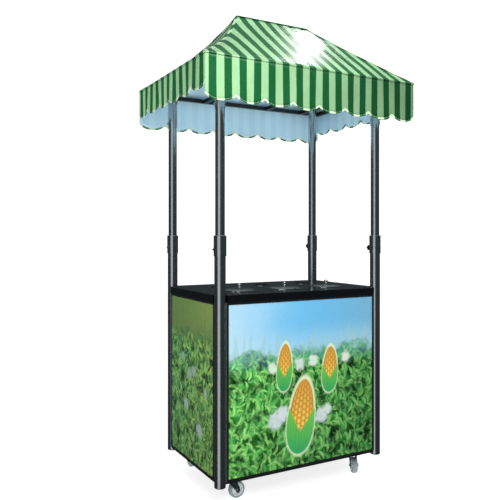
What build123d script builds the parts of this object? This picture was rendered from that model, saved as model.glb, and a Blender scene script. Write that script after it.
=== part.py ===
from build123d import *
import os

# Push vending cart: a printed box with a black counter on four corner posts and casters, under a
# striped hip-roof canopy whose poles telescope into the posts.
# Millimetres. The origin is on the floor under the middle of the cart. +X is to the right for the
# customer, -Y is the customer's side, +Y the vendor's side and +Z is up.

# ---- clearances ----------------------------------------------------------------------------------
WELD_GAP = 0.05         # between fixed faces that are welded, glued or pressed together
RUN_GAP = 0.08          # radial, a shaft that turns or slides in a bore
BODY_GAP = 0.4          # between faces of pieces that move past each other
EASY_GAP = 1.5          # round anything dropped or slotted into place

# ---- corner posts and canopy poles ---------------------------------------------------------------
POST_SPAN_X = 864.0     # between post centres
POST_SPAN_Y = 550.0
POST_OD = 50.0
POST_WALL = 1.5
POST_BELOW_BASE = 10.0  # the posts' ends hang below the base rails
POST_TOP = 1180.0
POLE_OD = 42.4
POLE_WALL = 1.5
POLE_INSERT = 200.0     # length of pole inside the post with the canopy raised
CAP_FLANGE = 3.0
CAP_PLUG = 15.0

# ---- collar on each post, and its lock screw -----------------------------------------------------
COLLAR_LENGTH = 90.0
COLLAR_WALL = 3.0
COLLAR_LIP = 4.0
COLLAR_CHAMFER = 1.2
BOSS_R = 8.5
BOSS_REACH = 9.0        # out from the collar
LOCK_SCREW_R = 4.0
LOCK_SCREW_DROP = 58.0  # below the top of the post
LOCK_KNOB_R = 13.0
LOCK_KNOB_T = 12.0
LOCK_KNOB_LOBES = 5

# ---- welded box frame ----------------------------------------------------------------------------
RAIL = 25.0
RAIL_WALL = 1.5
CASTER_RAIL_W = 70.0
SHELF_RAIL_BOTTOM = 470.0
PAN_T = 2.0
SHELF_T = 3.0
SHELF_LIP = 18.0

# ---- counter and what drops into it --------------------------------------------------------------
COUNTER_TOP = 925.0
COUNTER_T = 33.0
COUNTER_OVERHANG = 3.0  # past the panel trims
COUNTER_EDGE_R = 3.0
WELL_PITCH_X = 250.0
WELL_Y = 110.0          # pots on the customer's side, cup rings on the vendor's side
POT_R = 75.0
POT_DEPTH = 150.0
POT_WALL = 1.2
POT_FLANGE = 12.0
POT_FLANGE_T = 1.5
POT_CORNER_R = 14.0
POT_REBATE = 4.0        # wider mouth that holds the lid's skirt
POT_REBATE_DEPTH = 8.0
LID_OVERLAP = 8.0       # of the lid on the pot's flange
LID_T = 1.2
LID_DOME = 7.0
LID_CROWN = 0.8         # share of the lid's radius under the shallow crown
LID_KNOB_SUNK = 0.7     # share of the knob's radius above its stem
LID_SKIRT = 7.0
LID_KNOB_R = 11.0
LID_STEM_R = 5.0
LID_STEM_H = 6.0
CUP_BORE_R = 40.0
CUP_SLEEVE_WALL = 3.0
CUP_FLANGE = 10.0
CUP_SLEEVE_BELOW = 15.0

# ---- printed panels and their trims --------------------------------------------------------------
PANEL_T = 4.0
PANEL_SIDE_GAP = 2.0    # between a panel's edge and the post's face
PANEL_ABOVE_BASE = 9.0  # base rail left showing under the panels
TRIM_W = 10.0
TRIM_T = 1.5
SCREW_R = 2.0
SCREW_HEAD_R = 4.0
SCREW_HEAD_T = 1.8
SCREW_LENGTH = 12.0
FRONT_SCREWS = 5
SIDE_SCREWS = 3

# ---- vendor's doors ------------------------------------------------------------------------------
DOOR_T = 18.0
DOOR_GAP = 3.0
JAMB_W = 20.0
HINGE_H = 76.0
HINGE_PIN_R = 3.0
HINGE_CORE_R = 4.0      # joins a fixed leaf's knuckles to its pin
KNUCKLE_R = 5.0
LEAF_T = 2.0
LEAF_W = 20.0
HINGE_INSET = 110.0     # from the door's top and bottom edges to the hinges
HANDLE_LENGTH = 130.0
HANDLE_REACH = 30.0
HANDLE_R = 5.0
HANDLE_EDGE = 32.0      # from the door's free edge
HANDLE_BEND = 12.0

# ---- casters -------------------------------------------------------------------------------------
CASTER_INSET_X = 87.0   # from the post centre to the swivel
CASTER_INSET_Y = 70.0
WHEEL_R = 37.5
WHEEL_W = 25.0
TYRE_T = 10.0
TYRE_SHOULDER = 5.0
TRAIL = 30.0
CASTER_RISE = 30.0      # from the top of the wheel to the base rails
PLATE_X = 66.0
PLATE_Y = 92.0
PLATE_T = 3.0
PLATE_BOLT_X = 48.0
PLATE_BOLT_Y = 72.0
CASTER_BOLT_R = 4.0
CASTER_BOLT_HEAD = 5.0
CASTER_BOLT_LENGTH = 19.0
RACE_R = 26.0
RACE_H = 7.0
CROWN_T = 8.0
KINGPIN_R = 6.0
KINGPIN_HEAD_R = 9.0
KINGPIN_HEAD_T = 4.5
FORK_T = 2.5
FORK_CORNER_R = 5.0
FORK_ROOT = 20.0        # half the cheek's width under the crown
FORK_EYE = 12.0         # half its width at the axle
BRAKE_EAR = 7.0
KINGPIN_GAP = 0.5
FORK_SIDE_GAP = 2.0
AXLE_R = 4.0
AXLE_HEAD_T = 5.0
BRAKE_PIN_R = 2.5
BRAKE_PIN_BEHIND = 21.0  # from the axle, along the trail
BRAKE_PIN_RISE = 5.0    # above the top of the wheel
BRAKE_EYE_WALL = 2.5
BRAKE_LEVER = 30.0
BRAKE_LEVER_T = 3.0
BRAKE_LEVER_RISE = 10.0
CASTERS = {             # side, face and the way the wheel trails, in degrees from +X
    "front_left": (-1, -1, 0.0),
    "front_right": (1, -1, 245.0),
    "rear_left": (-1, 1, 90.0),
    "rear_right": (1, 1, 60.0),
}
BRAKED = ("rear_left", "rear_right")

# ---- canopy --------------------------------------------------------------------------------------
CANOPY_OVERHANG = 133.0  # from the post centres to the eave
EAVE_Z = 1933.0
RIDGE_Z = 2260.0
RIDGE_HALF = 205.0
CLOTH_T = 3.0
CLOTH_SAG = 20.0         # of the roof, part of the way up
SAG_AT = 0.4             # share of the way from the eave to the ridge
VALANCE_T = 2.0
VALANCE_DROP = 187.0
FRAME_TUBE = 20.0
FRAME_WALL = 1.2
FRAME_INSET = 4.0        # from the valance's outer face to the eave tubes
FRAME_DROP = 8.0         # from the eave line to the top of the eave tubes
RIDGE_GAP = 8.0          # from the cloth to the ridge tube's edges
SOCKET_WALL = 2.0
SOCKET_LENGTH = 170.0
SOCKET_SCREW_R = 3.0
SOCKET_SCREW_HEAD_R = 6.5
SOCKET_SCREW_HEAD_T = 6.0
SOCKET_SCREW_UP = 17.0   # above the socket's lower end

# ---- worked out from the sizes above -------------------------------------------------------------
PX, PY = POST_SPAN_X / 2, POST_SPAN_Y / 2
POST_R, POLE_R = POST_OD / 2, POLE_OD / 2
BASE_BOTTOM = 2 * WHEEL_R + CASTER_RISE
POST_BOTTOM = BASE_BOTTOM - POST_BELOW_BASE
BASE_TOP = BASE_BOTTOM + RAIL
COUNTER_BOTTOM = COUNTER_TOP - COUNTER_T
FACE_X, FACE_Y = PX + RAIL / 2, PY + RAIL / 2           # outer faces of the box frame
PANEL_BOTTOM = BASE_BOTTOM + PANEL_ABOVE_BASE
PANEL_TOP = COUNTER_BOTTOM - 1.0
SKIN = PANEL_T + TRIM_T + 2 * WELD_GAP
COUNTER_X, COUNTER_Y = FACE_X + SKIN + COUNTER_OVERHANG, FACE_Y + SKIN + COUNTER_OVERHANG
COLLAR_R = POST_R + WELD_GAP + COLLAR_WALL
POLE_BOTTOM = POST_TOP - POLE_INSERT
EAVE_X, EAVE_Y = PX + CANOPY_OVERHANG, PY + CANOPY_OVERHANG
FRAME_TOP = EAVE_Z - FRAME_DROP
FRAME_BOTTOM = FRAME_TOP - FRAME_TUBE
SOCKET_BOTTOM = FRAME_BOTTOM - SOCKET_LENGTH
SOCKET_R = POLE_R + WELD_GAP + SOCKET_WALL
CORNERS = [(sx, sy) for sy in (-1, 1) for sx in (-1, 1)]
WELLS_X = (-WELL_PITCH_X, 0.0, WELL_PITCH_X)


# ---- building blocks -----------------------------------------------------------------------------
def block(x0, x1, y0, y1, z0, z1):
    """A box between two opposite corners, given in either order."""
    size = abs(x1 - x0), abs(y1 - y0), abs(z1 - z0)
    return Pos((x0 + x1) / 2, (y0 + y1) / 2, (z0 + z1) / 2) * Box(*size)


def rod(x, y, z0, z1, r):
    """An upright round bar."""
    return Pos(x, y, (z0 + z1) / 2) * Cylinder(r, z1 - z0)


def pipe(x, y, z0, z1, r, wall):
    """An upright round tube."""
    return rod(x, y, z0, z1, r) - rod(x, y, z0 - 1, z1 + 1, r - wall)


def rod_y(x, z, y0, y1, r):
    """A round bar along Y."""
    return Pos(x, (y0 + y1) / 2, z) * Rot(90, 0, 0) * Cylinder(r, abs(y1 - y0))


def rod_x(y, z, x0, x1, r):
    """A round bar along X."""
    return Pos((x0 + x1) / 2, y, z) * Rot(0, 90, 0) * Cylinder(r, abs(x1 - x0))


def box_tube_x(x0, x1, y, z, wide, tall, wall):
    """A hollow rectangular tube along X, centred on y and z."""
    outer = block(x0, x1, y - wide / 2, y + wide / 2, z - tall / 2, z + tall / 2)
    w, t = wide / 2 - wall, tall / 2 - wall
    return outer - block(x0 - 1, x1 + 1, y - w, y + w, z - t, z + t)


def box_tube_y(y0, y1, x, z, wide, tall, wall):
    """A hollow rectangular tube along Y, centred on x and z."""
    return Rot(0, 0, 90) * box_tube_x(y0, y1, -x, z, wide, tall, wall)


def box_tube_z(z0, z1, x, y, side, wall):
    """A hollow square tube along Z."""
    h, w = side / 2, side / 2 - wall
    outer = block(x - h, x + h, y - h, y + h, z0, z1)
    return outer - block(x - w, x + w, y - w, y + w, z0 - 1, z1 + 1)


def turned(points):
    """A solid turned about the Z axis from an (r, z) outline."""
    return revolve(Plane.XZ * make_face(Polyline(*points, close=True)), Axis.Z)


def hexagon(r, height):
    """A bolt head or nut of width across corners 2 r, standing on z 0."""
    return extrude(RegularPolygon(r, 6), height)


def post_clearance(gap):
    """The four posts' outer cylinders, grown by gap, to be cut from what meets them."""
    return [rod(sx * PX, sy * PY, 0, RIDGE_Z, POST_R + gap) for sx, sy in CORNERS]


def cut(solid, tools):
    """solid with every tool taken away, keeping only its largest piece."""
    for tool in tools:
        solid = solid - tool
    return max(solid.solids(), key=lambda s: s.volume)


def spread(count, half):
    """count places evenly spaced from -half to half."""
    return [half * (2 * i / (count - 1) - 1) for i in range(count)]


# ---- posts, collars and end caps -----------------------------------------------------------------
def lower_posts():
    posts = []
    for sx, sy in CORNERS:
        hole = rod_y(sx * PX, POST_TOP - LOCK_SCREW_DROP, sy * PY, sy * PY + POST_OD, LOCK_SCREW_R + 0.5)
        posts.append(pipe(sx * PX, sy * PY, POST_BOTTOM, POST_TOP, POST_R, POST_WALL) - hole)
    return posts


def post_end_caps():
    plug_r = POST_R - POST_WALL - WELD_GAP
    cap = rod(0, 0, POST_BOTTOM - CAP_FLANGE, POST_BOTTOM - WELD_GAP, POST_R)
    cap = chamfer(cap.edges().group_by(Axis.Z)[0], 1.0)
    cap += rod(0, 0, POST_BOTTOM - CAP_FLANGE, POST_BOTTOM + CAP_PLUG, plug_r)
    return [Pos(sx * PX, sy * PY, 0) * cap for sx, sy in CORNERS]


def post_collars():
    bore = POLE_R + RUN_GAP
    tube_out, tube_in = POST_R + WELD_GAP, POST_R - POST_WALL - WELD_GAP
    top, low = POST_TOP + COLLAR_LIP, POST_TOP + COLLAR_LIP - COLLAR_LENGTH
    seat = POST_TOP + WELD_GAP
    outline = [(bore, low), (tube_in, low), (tube_in, seat), (tube_out, seat), (tube_out, low),
               (COLLAR_R, low), (COLLAR_R, top), (bore, top)]
    ring = turned(outline)
    rims = ring.edges().filter_by(GeomType.CIRCLE)
    ring = chamfer(rims.sort_by(lambda e: -e.center().Z - e.radius)[0], COLLAR_CHAMFER)
    screw_z = POST_TOP - LOCK_SCREW_DROP
    boss = rod_y(0, screw_z, POST_R + COLLAR_WALL / 2, COLLAR_R + BOSS_REACH, BOSS_R)
    ring = ring + (boss - rod(0, 0, 0, RIDGE_Z, POST_R + COLLAR_WALL / 2))
    ring = ring - rod_y(0, screw_z, 0, POST_OD, LOCK_SCREW_R + RUN_GAP)
    return [Pos(sx * PX, sy * PY, 0) * ring for sx, sy in CORNERS]


def lock_screw(sx, sy):
    """A star knob with its screw, which stops just short of the pole."""
    z = POST_TOP - LOCK_SCREW_DROP
    tip = POLE_R + BODY_GAP
    knob_start = COLLAR_R + BOSS_REACH + EASY_GAP
    shank = rod_y(0, 0, tip, knob_start + LOCK_KNOB_T / 2, LOCK_SCREW_R)
    flutes = PolarLocations(LOCK_KNOB_R * 1.15, LOCK_KNOB_LOBES) * Circle(LOCK_KNOB_R * 0.4)
    star = Circle(LOCK_KNOB_R) - flutes
    knob = fillet(extrude(star, LOCK_KNOB_T).faces().sort_by(Axis.Z)[-1].edges(), 1.0)
    knob = Pos(0, knob_start, 0) * Rot(-90, 0, 0) * knob
    return [Pos(sx * PX, sy * PY, z) * (knob + shank)]


# ---- box frame -----------------------------------------------------------------------------------
def caster_centres():
    return {n: (sx * (PX - CASTER_INSET_X), sy * (PY - CASTER_INSET_Y)) for n, (sx, sy, _) in CASTERS.items()}


def plate_bolt_places():
    half_x, half_y = PLATE_BOLT_X / 2, PLATE_BOLT_Y / 2
    return [(cx + i * half_x, cy + j * half_y) for cx, cy in caster_centres().values()
            for i in (-1, 1) for j in (-1, 1)]


def panel_screw_lines():
    """For each face: the screws' places along it, and their two heights."""
    heights = (PANEL_BOTTOM + TRIM_W / 2 + WELD_GAP, PANEL_TOP - TRIM_W / 2)
    return spread(FRONT_SCREWS, PX * 0.8), spread(SIDE_SCREWS, PY * 0.7), heights


def panel_screw_tools(radius, depth_in, depth_out):
    """Bars on every panel screw's line, from depth_in inside to depth_out outside the box frame's face."""
    front, side, heights = panel_screw_lines()
    bars = []
    for z in heights:
        bars += [rod_y(x, z, -FACE_Y + depth_in, -FACE_Y - depth_out, radius) for x in front]
        bars += [rod_x(y, z, sx * (FACE_X - depth_in), sx * (FACE_X + depth_out), radius)
                 for y in side for sx in (-1, 1)]
    return bars


def perimeter(z_centre, screw_holes):
    """Four rails between the posts, coped round them."""
    posts = post_clearance(WELD_GAP)
    rails = [box_tube_x(-PX, PX, sy * PY, z_centre, RAIL, RAIL, RAIL_WALL) for sy in (-1, 1)]
    rails += [box_tube_y(-PY, PY, sx * PX, z_centre, RAIL, RAIL, RAIL_WALL) for sx in (-1, 1)]
    return [cut(rail, posts + screw_holes) for rail in rails]


def near(tools, z, reach):
    """The tools whose middle lies within reach of height z."""
    return [t for t in tools if abs(t.center().Z - z) < reach]


def base_rails():
    z = BASE_BOTTOM + RAIL / 2
    holes = near(panel_screw_tools(SCREW_R + RUN_GAP, SCREW_LENGTH, SCREW_LENGTH), z, RAIL)
    rails = perimeter(z, holes)
    inner = PY - RAIL / 2 - WELD_GAP
    bolts = [rod(x, y, BASE_BOTTOM - 1, BASE_BOTTOM + RAIL / 2, CASTER_BOLT_R + RUN_GAP)
             for x, y in plate_bolt_places()]
    for sx in (-1, 1):
        rail = box_tube_y(-inner, inner, sx * (PX - CASTER_INSET_X), z, CASTER_RAIL_W, RAIL, RAIL_WALL)
        rails.append(cut(rail, bolts))
    return rails


def top_rails():
    z = COUNTER_BOTTOM - WELD_GAP - RAIL / 2
    holes = near(panel_screw_tools(SCREW_R + RUN_GAP, SCREW_LENGTH, SCREW_LENGTH), z, RAIL)
    return perimeter(z, holes)


def shelf_rails():
    z = SHELF_RAIL_BOTTOM + RAIL / 2
    posts = post_clearance(WELD_GAP)
    return [cut(box_tube_y(-PY, PY, sx * PX, z, RAIL, RAIL, RAIL_WALL), posts) for sx in (-1, 1)]


def deck(z, thickness, rear):
    """A flat sheet inside the panels, notched round the posts."""
    inside = BODY_GAP
    sheet = block(-FACE_X + inside, FACE_X - inside, -FACE_Y + inside, rear, z, z + thickness)
    return cut(sheet, post_clearance(1.0))


def floor_pan():
    return [deck(BASE_TOP + WELD_GAP, PAN_T, FACE_Y - BODY_GAP)]


def storage_shelf():
    """A steel shelf with a turned-down lip on the vendor's side."""
    z = SHELF_RAIL_BOTTOM + RAIL + WELD_GAP
    rear = PY - RAIL
    sheet = deck(z, SHELF_T, rear)
    half = PX - RAIL - JAMB_W
    lip = block(-half, half, rear - PAN_T, rear, z + SHELF_T - SHELF_LIP, z + SHELF_T / 2)
    return [sheet + lip]


# ---- counter, cup rings, pots and lids -----------------------------------------------------------
def counter_top():
    """A thick worktop notched at the corners for the posts, with three pot wells and three cup holes."""
    slab = block(-COUNTER_X, COUNTER_X, -COUNTER_Y, COUNTER_Y, COUNTER_BOTTOM, COUNTER_TOP)
    slab = fillet(slab.faces().sort_by(Axis.Z)[-1].edges(), COUNTER_EDGE_R)
    notch_x, notch_y = PX - POST_R - EASY_GAP, PY - POST_R - EASY_GAP
    for sx, sy in CORNERS:
        far_x, far_y = sx * (COUNTER_X + 1), sy * (COUNTER_Y + 1)
        slab -= block(sx * notch_x, far_x, sy * notch_y, far_y, COUNTER_BOTTOM - 1, COUNTER_TOP + 1)
    for x in WELLS_X:
        slab -= rod(x, -WELL_Y, COUNTER_BOTTOM - 1, COUNTER_TOP + 1, POT_R + POT_REBATE + EASY_GAP)
        slab -= rod(x, WELL_Y, COUNTER_BOTTOM - 1, COUNTER_TOP + 1, CUP_BORE_R + CUP_SLEEVE_WALL + WELD_GAP)
    return [slab]


def cup_rings():
    outer, low = CUP_BORE_R + CUP_SLEEVE_WALL, COUNTER_BOTTOM - CUP_SLEEVE_BELOW
    seat, top = COUNTER_TOP + WELD_GAP, COUNTER_TOP + WELD_GAP + POT_FLANGE_T
    ring = turned([(CUP_BORE_R, low), (outer, low), (outer, seat), (outer + CUP_FLANGE, seat),
                   (outer + CUP_FLANGE, top), (CUP_BORE_R, top)])
    return [Pos(x, WELL_Y, 0) * ring for x in WELLS_X]


def food_pot(x):
    """A deep-drawn pot that hangs in the counter by its flange, with a wider mouth for the lid."""
    seat, top = COUNTER_TOP + WELD_GAP, COUNTER_TOP + WELD_GAP + POT_FLANGE_T
    foot, step = top - POT_DEPTH, top - POT_REBATE_DEPTH
    body = rod(0, 0, foot, top, POT_R)
    body = fillet(body.edges().group_by(Axis.Z)[0], POT_CORNER_R)
    body += rod(0, 0, step - POT_WALL, top, POT_R + POT_REBATE)
    body += rod(0, 0, seat, top, POT_R + POT_FLANGE)
    hollow = rod(0, 0, foot + POT_WALL, top + POT_CORNER_R, POT_R - POT_WALL)
    hollow = fillet(hollow.edges().group_by(Axis.Z)[0], POT_CORNER_R - POT_WALL)
    mouth = rod(0, 0, step, top + 1, POT_R - POT_WALL + POT_REBATE)
    return [Pos(x, -WELL_Y, 0) * (body - hollow - mouth)]


def pot_lid(x):
    """A shallow domed lid with a skirt inside the pot's mouth and a round knob."""
    seat = COUNTER_TOP + 2 * WELD_GAP + POT_FLANGE_T
    edge = POT_R + LID_OVERLAP
    skirt_out = POT_R - POT_WALL + POT_REBATE - BODY_GAP
    skirt_in = skirt_out - LID_T
    low, rim, top = seat - LID_SKIRT, seat + LID_T, seat + LID_T + LID_DOME
    knob_z = top + LID_STEM_H + LID_KNOB_R * LID_KNOB_SUNK
    lid = turned([(0, top - LID_T), (skirt_in * LID_CROWN, top - 2 * LID_T), (skirt_in, seat), (skirt_in, low),
                  (skirt_out, low), (skirt_out, seat), (edge, seat), (edge, rim), (skirt_out, rim),
                  (skirt_in * LID_CROWN, top - LID_T), (0, top)])
    lid += rod(0, 0, top - LID_T, knob_z, LID_STEM_R)
    lid += Pos(0, 0, knob_z) * Sphere(LID_KNOB_R)
    return [Pos(x, -WELL_Y, 0) * lid]


# ---- panels and trims ----------------------------------------------------------------------------
def panel_half(face, post):
    """Half the width of a panel that ends beside a post, given the face's and the post's distances out."""
    out = face + PANEL_T + TRIM_T - post
    chord = (POST_R ** 2 - min(out, POST_R) ** 2) ** 0.5
    shallow = (POST_R ** 2 - (face - post) ** 2) ** 0.5
    return max(chord, shallow) + PANEL_SIDE_GAP


def front_half():
    return PX - panel_half(FACE_Y, PY)


def side_half():
    return PY - panel_half(FACE_X, PX)


def front_panel():
    near_y, far_y = -FACE_Y - WELD_GAP, -FACE_Y - WELD_GAP - PANEL_T
    sheet = block(-front_half(), front_half(), near_y, far_y, PANEL_BOTTOM, PANEL_TOP)
    return [cut(sheet, panel_screw_tools(SCREW_R + RUN_GAP, SCREW_LENGTH, SCREW_LENGTH))]


def side_panel(sx):
    near_x, far_x = sx * (FACE_X + WELD_GAP), sx * (FACE_X + WELD_GAP + PANEL_T)
    sheet = block(near_x, far_x, -side_half(), side_half(), PANEL_BOTTOM, PANEL_TOP)
    return [cut(sheet, panel_screw_tools(SCREW_R + RUN_GAP, SCREW_LENGTH, SCREW_LENGTH))]


def strips(half, low, high):
    """Four flat strips round a rectangle, as (u0, u1, z0, z1), the upright ones between the level ones."""
    inner_low, inner_high = low + TRIM_W + WELD_GAP, high - TRIM_W - WELD_GAP
    return [(-half, half, low, low + TRIM_W), (-half, half, high - TRIM_W, high),
            (-half, -half + TRIM_W, inner_low, inner_high), (half - TRIM_W, half, inner_low, inner_high)]


def panel_edge_trims():
    skin_in, skin_out = PANEL_T + 2 * WELD_GAP, SKIN
    holes = panel_screw_tools(SCREW_R + RUN_GAP, SCREW_LENGTH, SCREW_LENGTH)
    bars = [block(u0, u1, -FACE_Y - skin_in, -FACE_Y - skin_out, z0, z1)
            for u0, u1, z0, z1 in strips(front_half(), PANEL_BOTTOM, PANEL_TOP)]
    for sx in (-1, 1):
        bars += [block(sx * (FACE_X + skin_in), sx * (FACE_X + skin_out), u0, u1, z0, z1)
                 for u0, u1, z0, z1 in strips(side_half(), PANEL_BOTTOM, PANEL_TOP)]
    return [cut(bar, holes) for bar in bars]


def panel_screws():
    out = SKIN + WELD_GAP
    shanks = panel_screw_tools(SCREW_R, SCREW_LENGTH - out, out)
    heads = panel_screw_tools(SCREW_HEAD_R, -out, out + SCREW_HEAD_T)
    return [shank + head for shank, head in zip(shanks, heads)]


# ---- vendor's doors ------------------------------------------------------------------------------
DOOR_OUT = FACE_Y                                       # outer face of the closed doors
JAMB_OUT = PX - POST_R - 1.0
JAMB_IN = JAMB_OUT - JAMB_W
PIN_X, PIN_Y = JAMB_IN - 1.0, DOOR_OUT + KNUCKLE_R + 0.5
DOOR_LOW, DOOR_HIGH = BASE_TOP + DOOR_GAP + PAN_T, COUNTER_BOTTOM - RAIL - DOOR_GAP
HINGE_Z = (DOOR_LOW + HINGE_INSET, DOOR_HIGH - HINGE_INSET - HINGE_H)


def rear_jambs():
    low, high = BASE_TOP + WELD_GAP + PAN_T + WELD_GAP, COUNTER_BOTTOM - RAIL - 2 * WELD_GAP
    return [block(sx * JAMB_IN, sx * JAMB_OUT, PY - RAIL / 2, DOOR_OUT, low, high) for sx in (-1, 1)]


def rear_door(sx):
    low_x, high_x = sx * DOOR_GAP / 2, sx * (JAMB_IN - 2.0)
    leaf = block(low_x, high_x, DOOR_OUT - DOOR_T, DOOR_OUT, DOOR_LOW, DOOR_HIGH)
    return [fillet(leaf.edges().filter_by(Axis.Z), 1.0)]


def knuckle_spans(z):
    """The hinge's height split in three: fixed, moving, fixed."""
    third = HINGE_H / 3
    return (z, z + third - BODY_GAP / 2), (z + third + BODY_GAP / 2, z + 2 * third - BODY_GAP / 2), \
        (z + 2 * third + BODY_GAP / 2, z + HINGE_H)


def hinge_half(sx, z, moving):
    """One leaf of a butt hinge with its knuckles. The fixed half carries the pin."""
    low, middle, high = knuckle_spans(z)
    own, other = ([middle], [low, high]) if moving else ([low, high], [middle])
    near_x = PIN_X - LEAF_W if moving else PIN_X
    far_x = PIN_X if moving else min(PIN_X + LEAF_W, JAMB_OUT)
    leaf = block(sx * near_x, sx * far_x, DOOR_OUT + WELD_GAP, DOOR_OUT + LEAF_T, z, z + HINGE_H)
    for z0, z1 in own:
        leaf += rod(sx * PIN_X, PIN_Y, z0, z1, KNUCKLE_R)
    leaf -= rod(sx * PIN_X, PIN_Y, z - 1, z + HINGE_H + 1, HINGE_PIN_R + RUN_GAP)
    for z0, z1 in other:
        leaf -= rod(sx * PIN_X, PIN_Y, z0 - BODY_GAP, z1 + BODY_GAP, KNUCKLE_R + BODY_GAP)
    return leaf


def hinge_fixed_leaves():
    halves = []
    for sx in (-1, 1):
        for z in HINGE_Z:
            pin = rod(sx * PIN_X, PIN_Y, z - 1.5, z + HINGE_H + 1.5, HINGE_PIN_R)
            low, _, high = knuckle_spans(z)
            joined = rod(sx * PIN_X, PIN_Y, *low, HINGE_CORE_R)
            joined += rod(sx * PIN_X, PIN_Y, *high, HINGE_CORE_R)
            halves.append(hinge_half(sx, z, False) + pin + joined)
    return halves


def hinge_moving_leaves(sx):
    return [hinge_half(sx, z, True) for z in HINGE_Z]


def door_handle(sx):
    """A bent round bar that stands off the door."""
    x, z = sx * HANDLE_EDGE, (DOOR_LOW + DOOR_HIGH) / 2
    half, reach = HANDLE_LENGTH / 2, DOOR_OUT + HANDLE_REACH
    foot = DOOR_OUT + WELD_GAP
    path = FilletPolyline((x, foot, z - half), (x, reach, z - half), (x, reach, z + half),
                          (x, foot, z + half), radius=HANDLE_BEND)
    return [sweep(Plane((x, foot, z - half), z_dir=(0, 1, 0)) * Circle(HANDLE_R), path)]


# ---- casters: built trailing along +X with the swivel on the Z axis, then turned and moved -------
PLATE_TOP = BASE_BOTTOM - WELD_GAP
PLATE_LOW = PLATE_TOP - PLATE_T
RACE_LOW = PLATE_LOW - RACE_H
CROWN_TOP = RACE_LOW - BODY_GAP
CROWN_LOW = CROWN_TOP - CROWN_T
FORK_IN = WHEEL_W / 2 + FORK_SIDE_GAP
BRAKE_PIN_S = TRAIL + BRAKE_PIN_BEHIND
BRAKE_PIN_Z = 2 * WHEEL_R + BRAKE_PIN_RISE
FORK_OUT = FORK_IN + FORK_T


def placed(name, solid):
    """A caster piece moved to its corner and turned the way its wheel trails."""
    x, y = caster_centres()[name]
    return Pos(x, y, 0) * Rot(0, 0, CASTERS[name][2]) * solid


def caster_plates():
    low = CROWN_LOW - KINGPIN_GAP - KINGPIN_HEAD_T
    plates = []
    for x, y in caster_centres().values():
        plate = extrude(Pos(x, y, PLATE_LOW) * RectangleRounded(PLATE_X, PLATE_Y, 6), PLATE_T)
        plate += rod(x, y, RACE_LOW, PLATE_LOW, RACE_R)
        plate += rod(x, y, low, RACE_LOW, KINGPIN_R)
        plate += rod(x, y, low, low + KINGPIN_HEAD_T, KINGPIN_HEAD_R)
        plates.append(plate)
    bolts = [rod(x, y, PLATE_LOW - 1, PLATE_TOP + 1, CASTER_BOLT_R + RUN_GAP) for x, y in plate_bolt_places()]
    return [cut(plate, [b for b in bolts if (b.center() - plate.center()).length < PLATE_Y])
            for plate in plates]


def caster_bolts():
    head = Pos(0, 0, PLATE_LOW - WELD_GAP - CASTER_BOLT_HEAD) * hexagon(CASTER_BOLT_R * 1.8, CASTER_BOLT_HEAD)
    shank = rod(0, 0, PLATE_LOW - CASTER_BOLT_HEAD, PLATE_LOW + CASTER_BOLT_LENGTH, CASTER_BOLT_R)
    return [Pos(x, y, 0) * (head + shank) for x, y in plate_bolt_places()]


def fork_leg(side, braked):
    """One flat cheek of the fork, from the crown down to the axle, with an ear for the brake's pin."""
    top, foot = CROWN_LOW + CROWN_T / 2, WHEEL_R - FORK_EYE
    ear = [(BRAKE_PIN_S + BRAKE_EAR, BRAKE_PIN_Z - BRAKE_EAR / 2), (BRAKE_PIN_S, BRAKE_PIN_Z + BRAKE_EAR)]
    outline = [(-FORK_ROOT, top), (-FORK_ROOT, top - BRAKE_EAR), (TRAIL - FORK_EYE, WHEEL_R),
               (TRAIL - FORK_EYE / 2, foot), (TRAIL + FORK_EYE / 2, foot), (TRAIL + FORK_EYE, WHEEL_R)]
    outline += (ear if braked else []) + [(FORK_ROOT, top)]
    cheek = make_face(Polyline(*outline, close=True))
    cheek = fillet(cheek.vertices().sort_by(Axis.Y)[:4], FORK_CORNER_R)
    leg = extrude(Plane.XZ * cheek, FORK_T)
    return Pos(0, FORK_OUT if side > 0 else -FORK_IN, 0) * leg


def caster_fork(name):
    braked = name in BRAKED
    crown = rod(0, 0, CROWN_LOW, CROWN_TOP, RACE_R)
    fork = crown + fork_leg(1, braked) + fork_leg(-1, braked)
    fork -= rod(0, 0, CROWN_LOW - 1, CROWN_TOP + 1, KINGPIN_R + RUN_GAP)
    fork -= rod_y(TRAIL, WHEEL_R, -WHEEL_W, WHEEL_W, AXLE_R + WELD_GAP)
    if braked:
        fork += rod_y(BRAKE_PIN_S, BRAKE_PIN_Z, -FORK_OUT - 1, FORK_OUT + 1, BRAKE_PIN_R)
    return [placed(name, fork)]


def caster_axle(name):
    head = Rot(90, 0, 0) * hexagon(AXLE_R * 1.8, AXLE_HEAD_T)
    bolt = rod_y(0, 0, -FORK_OUT - 2, FORK_OUT + 2, AXLE_R)
    bolt += Pos(0, -FORK_OUT - WELD_GAP, 0) * head
    bolt += Pos(0, FORK_OUT + WELD_GAP + AXLE_HEAD_T, 0) * head
    return [placed(name, Pos(TRAIL, 0, WHEEL_R) * bolt)]


def wheel_place(name, solid):
    """A wheel piece turned from the Z axis onto its axle."""
    return placed(name, Pos(TRAIL, 0, WHEEL_R) * Rot(90, 0, 0) * solid)


def caster_hub(name):
    """A moulded centre: a boss on the axle, a thin web and a rim."""
    rim, web, boss = WHEEL_R - TYRE_T, WHEEL_W * 0.2, AXLE_R + 5
    half, bore = WHEEL_W / 2, AXLE_R + RUN_GAP
    side = [(bore, -half - 1), (boss, -half - 1), (boss + 2, -web), (rim - 5, -web), (rim - 4, -half + 1),
            (rim - WELD_GAP, -half + 1)]
    outline = side + [(r, -z) for r, z in reversed(side)]
    return [wheel_place(name, turned(outline))]


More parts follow.
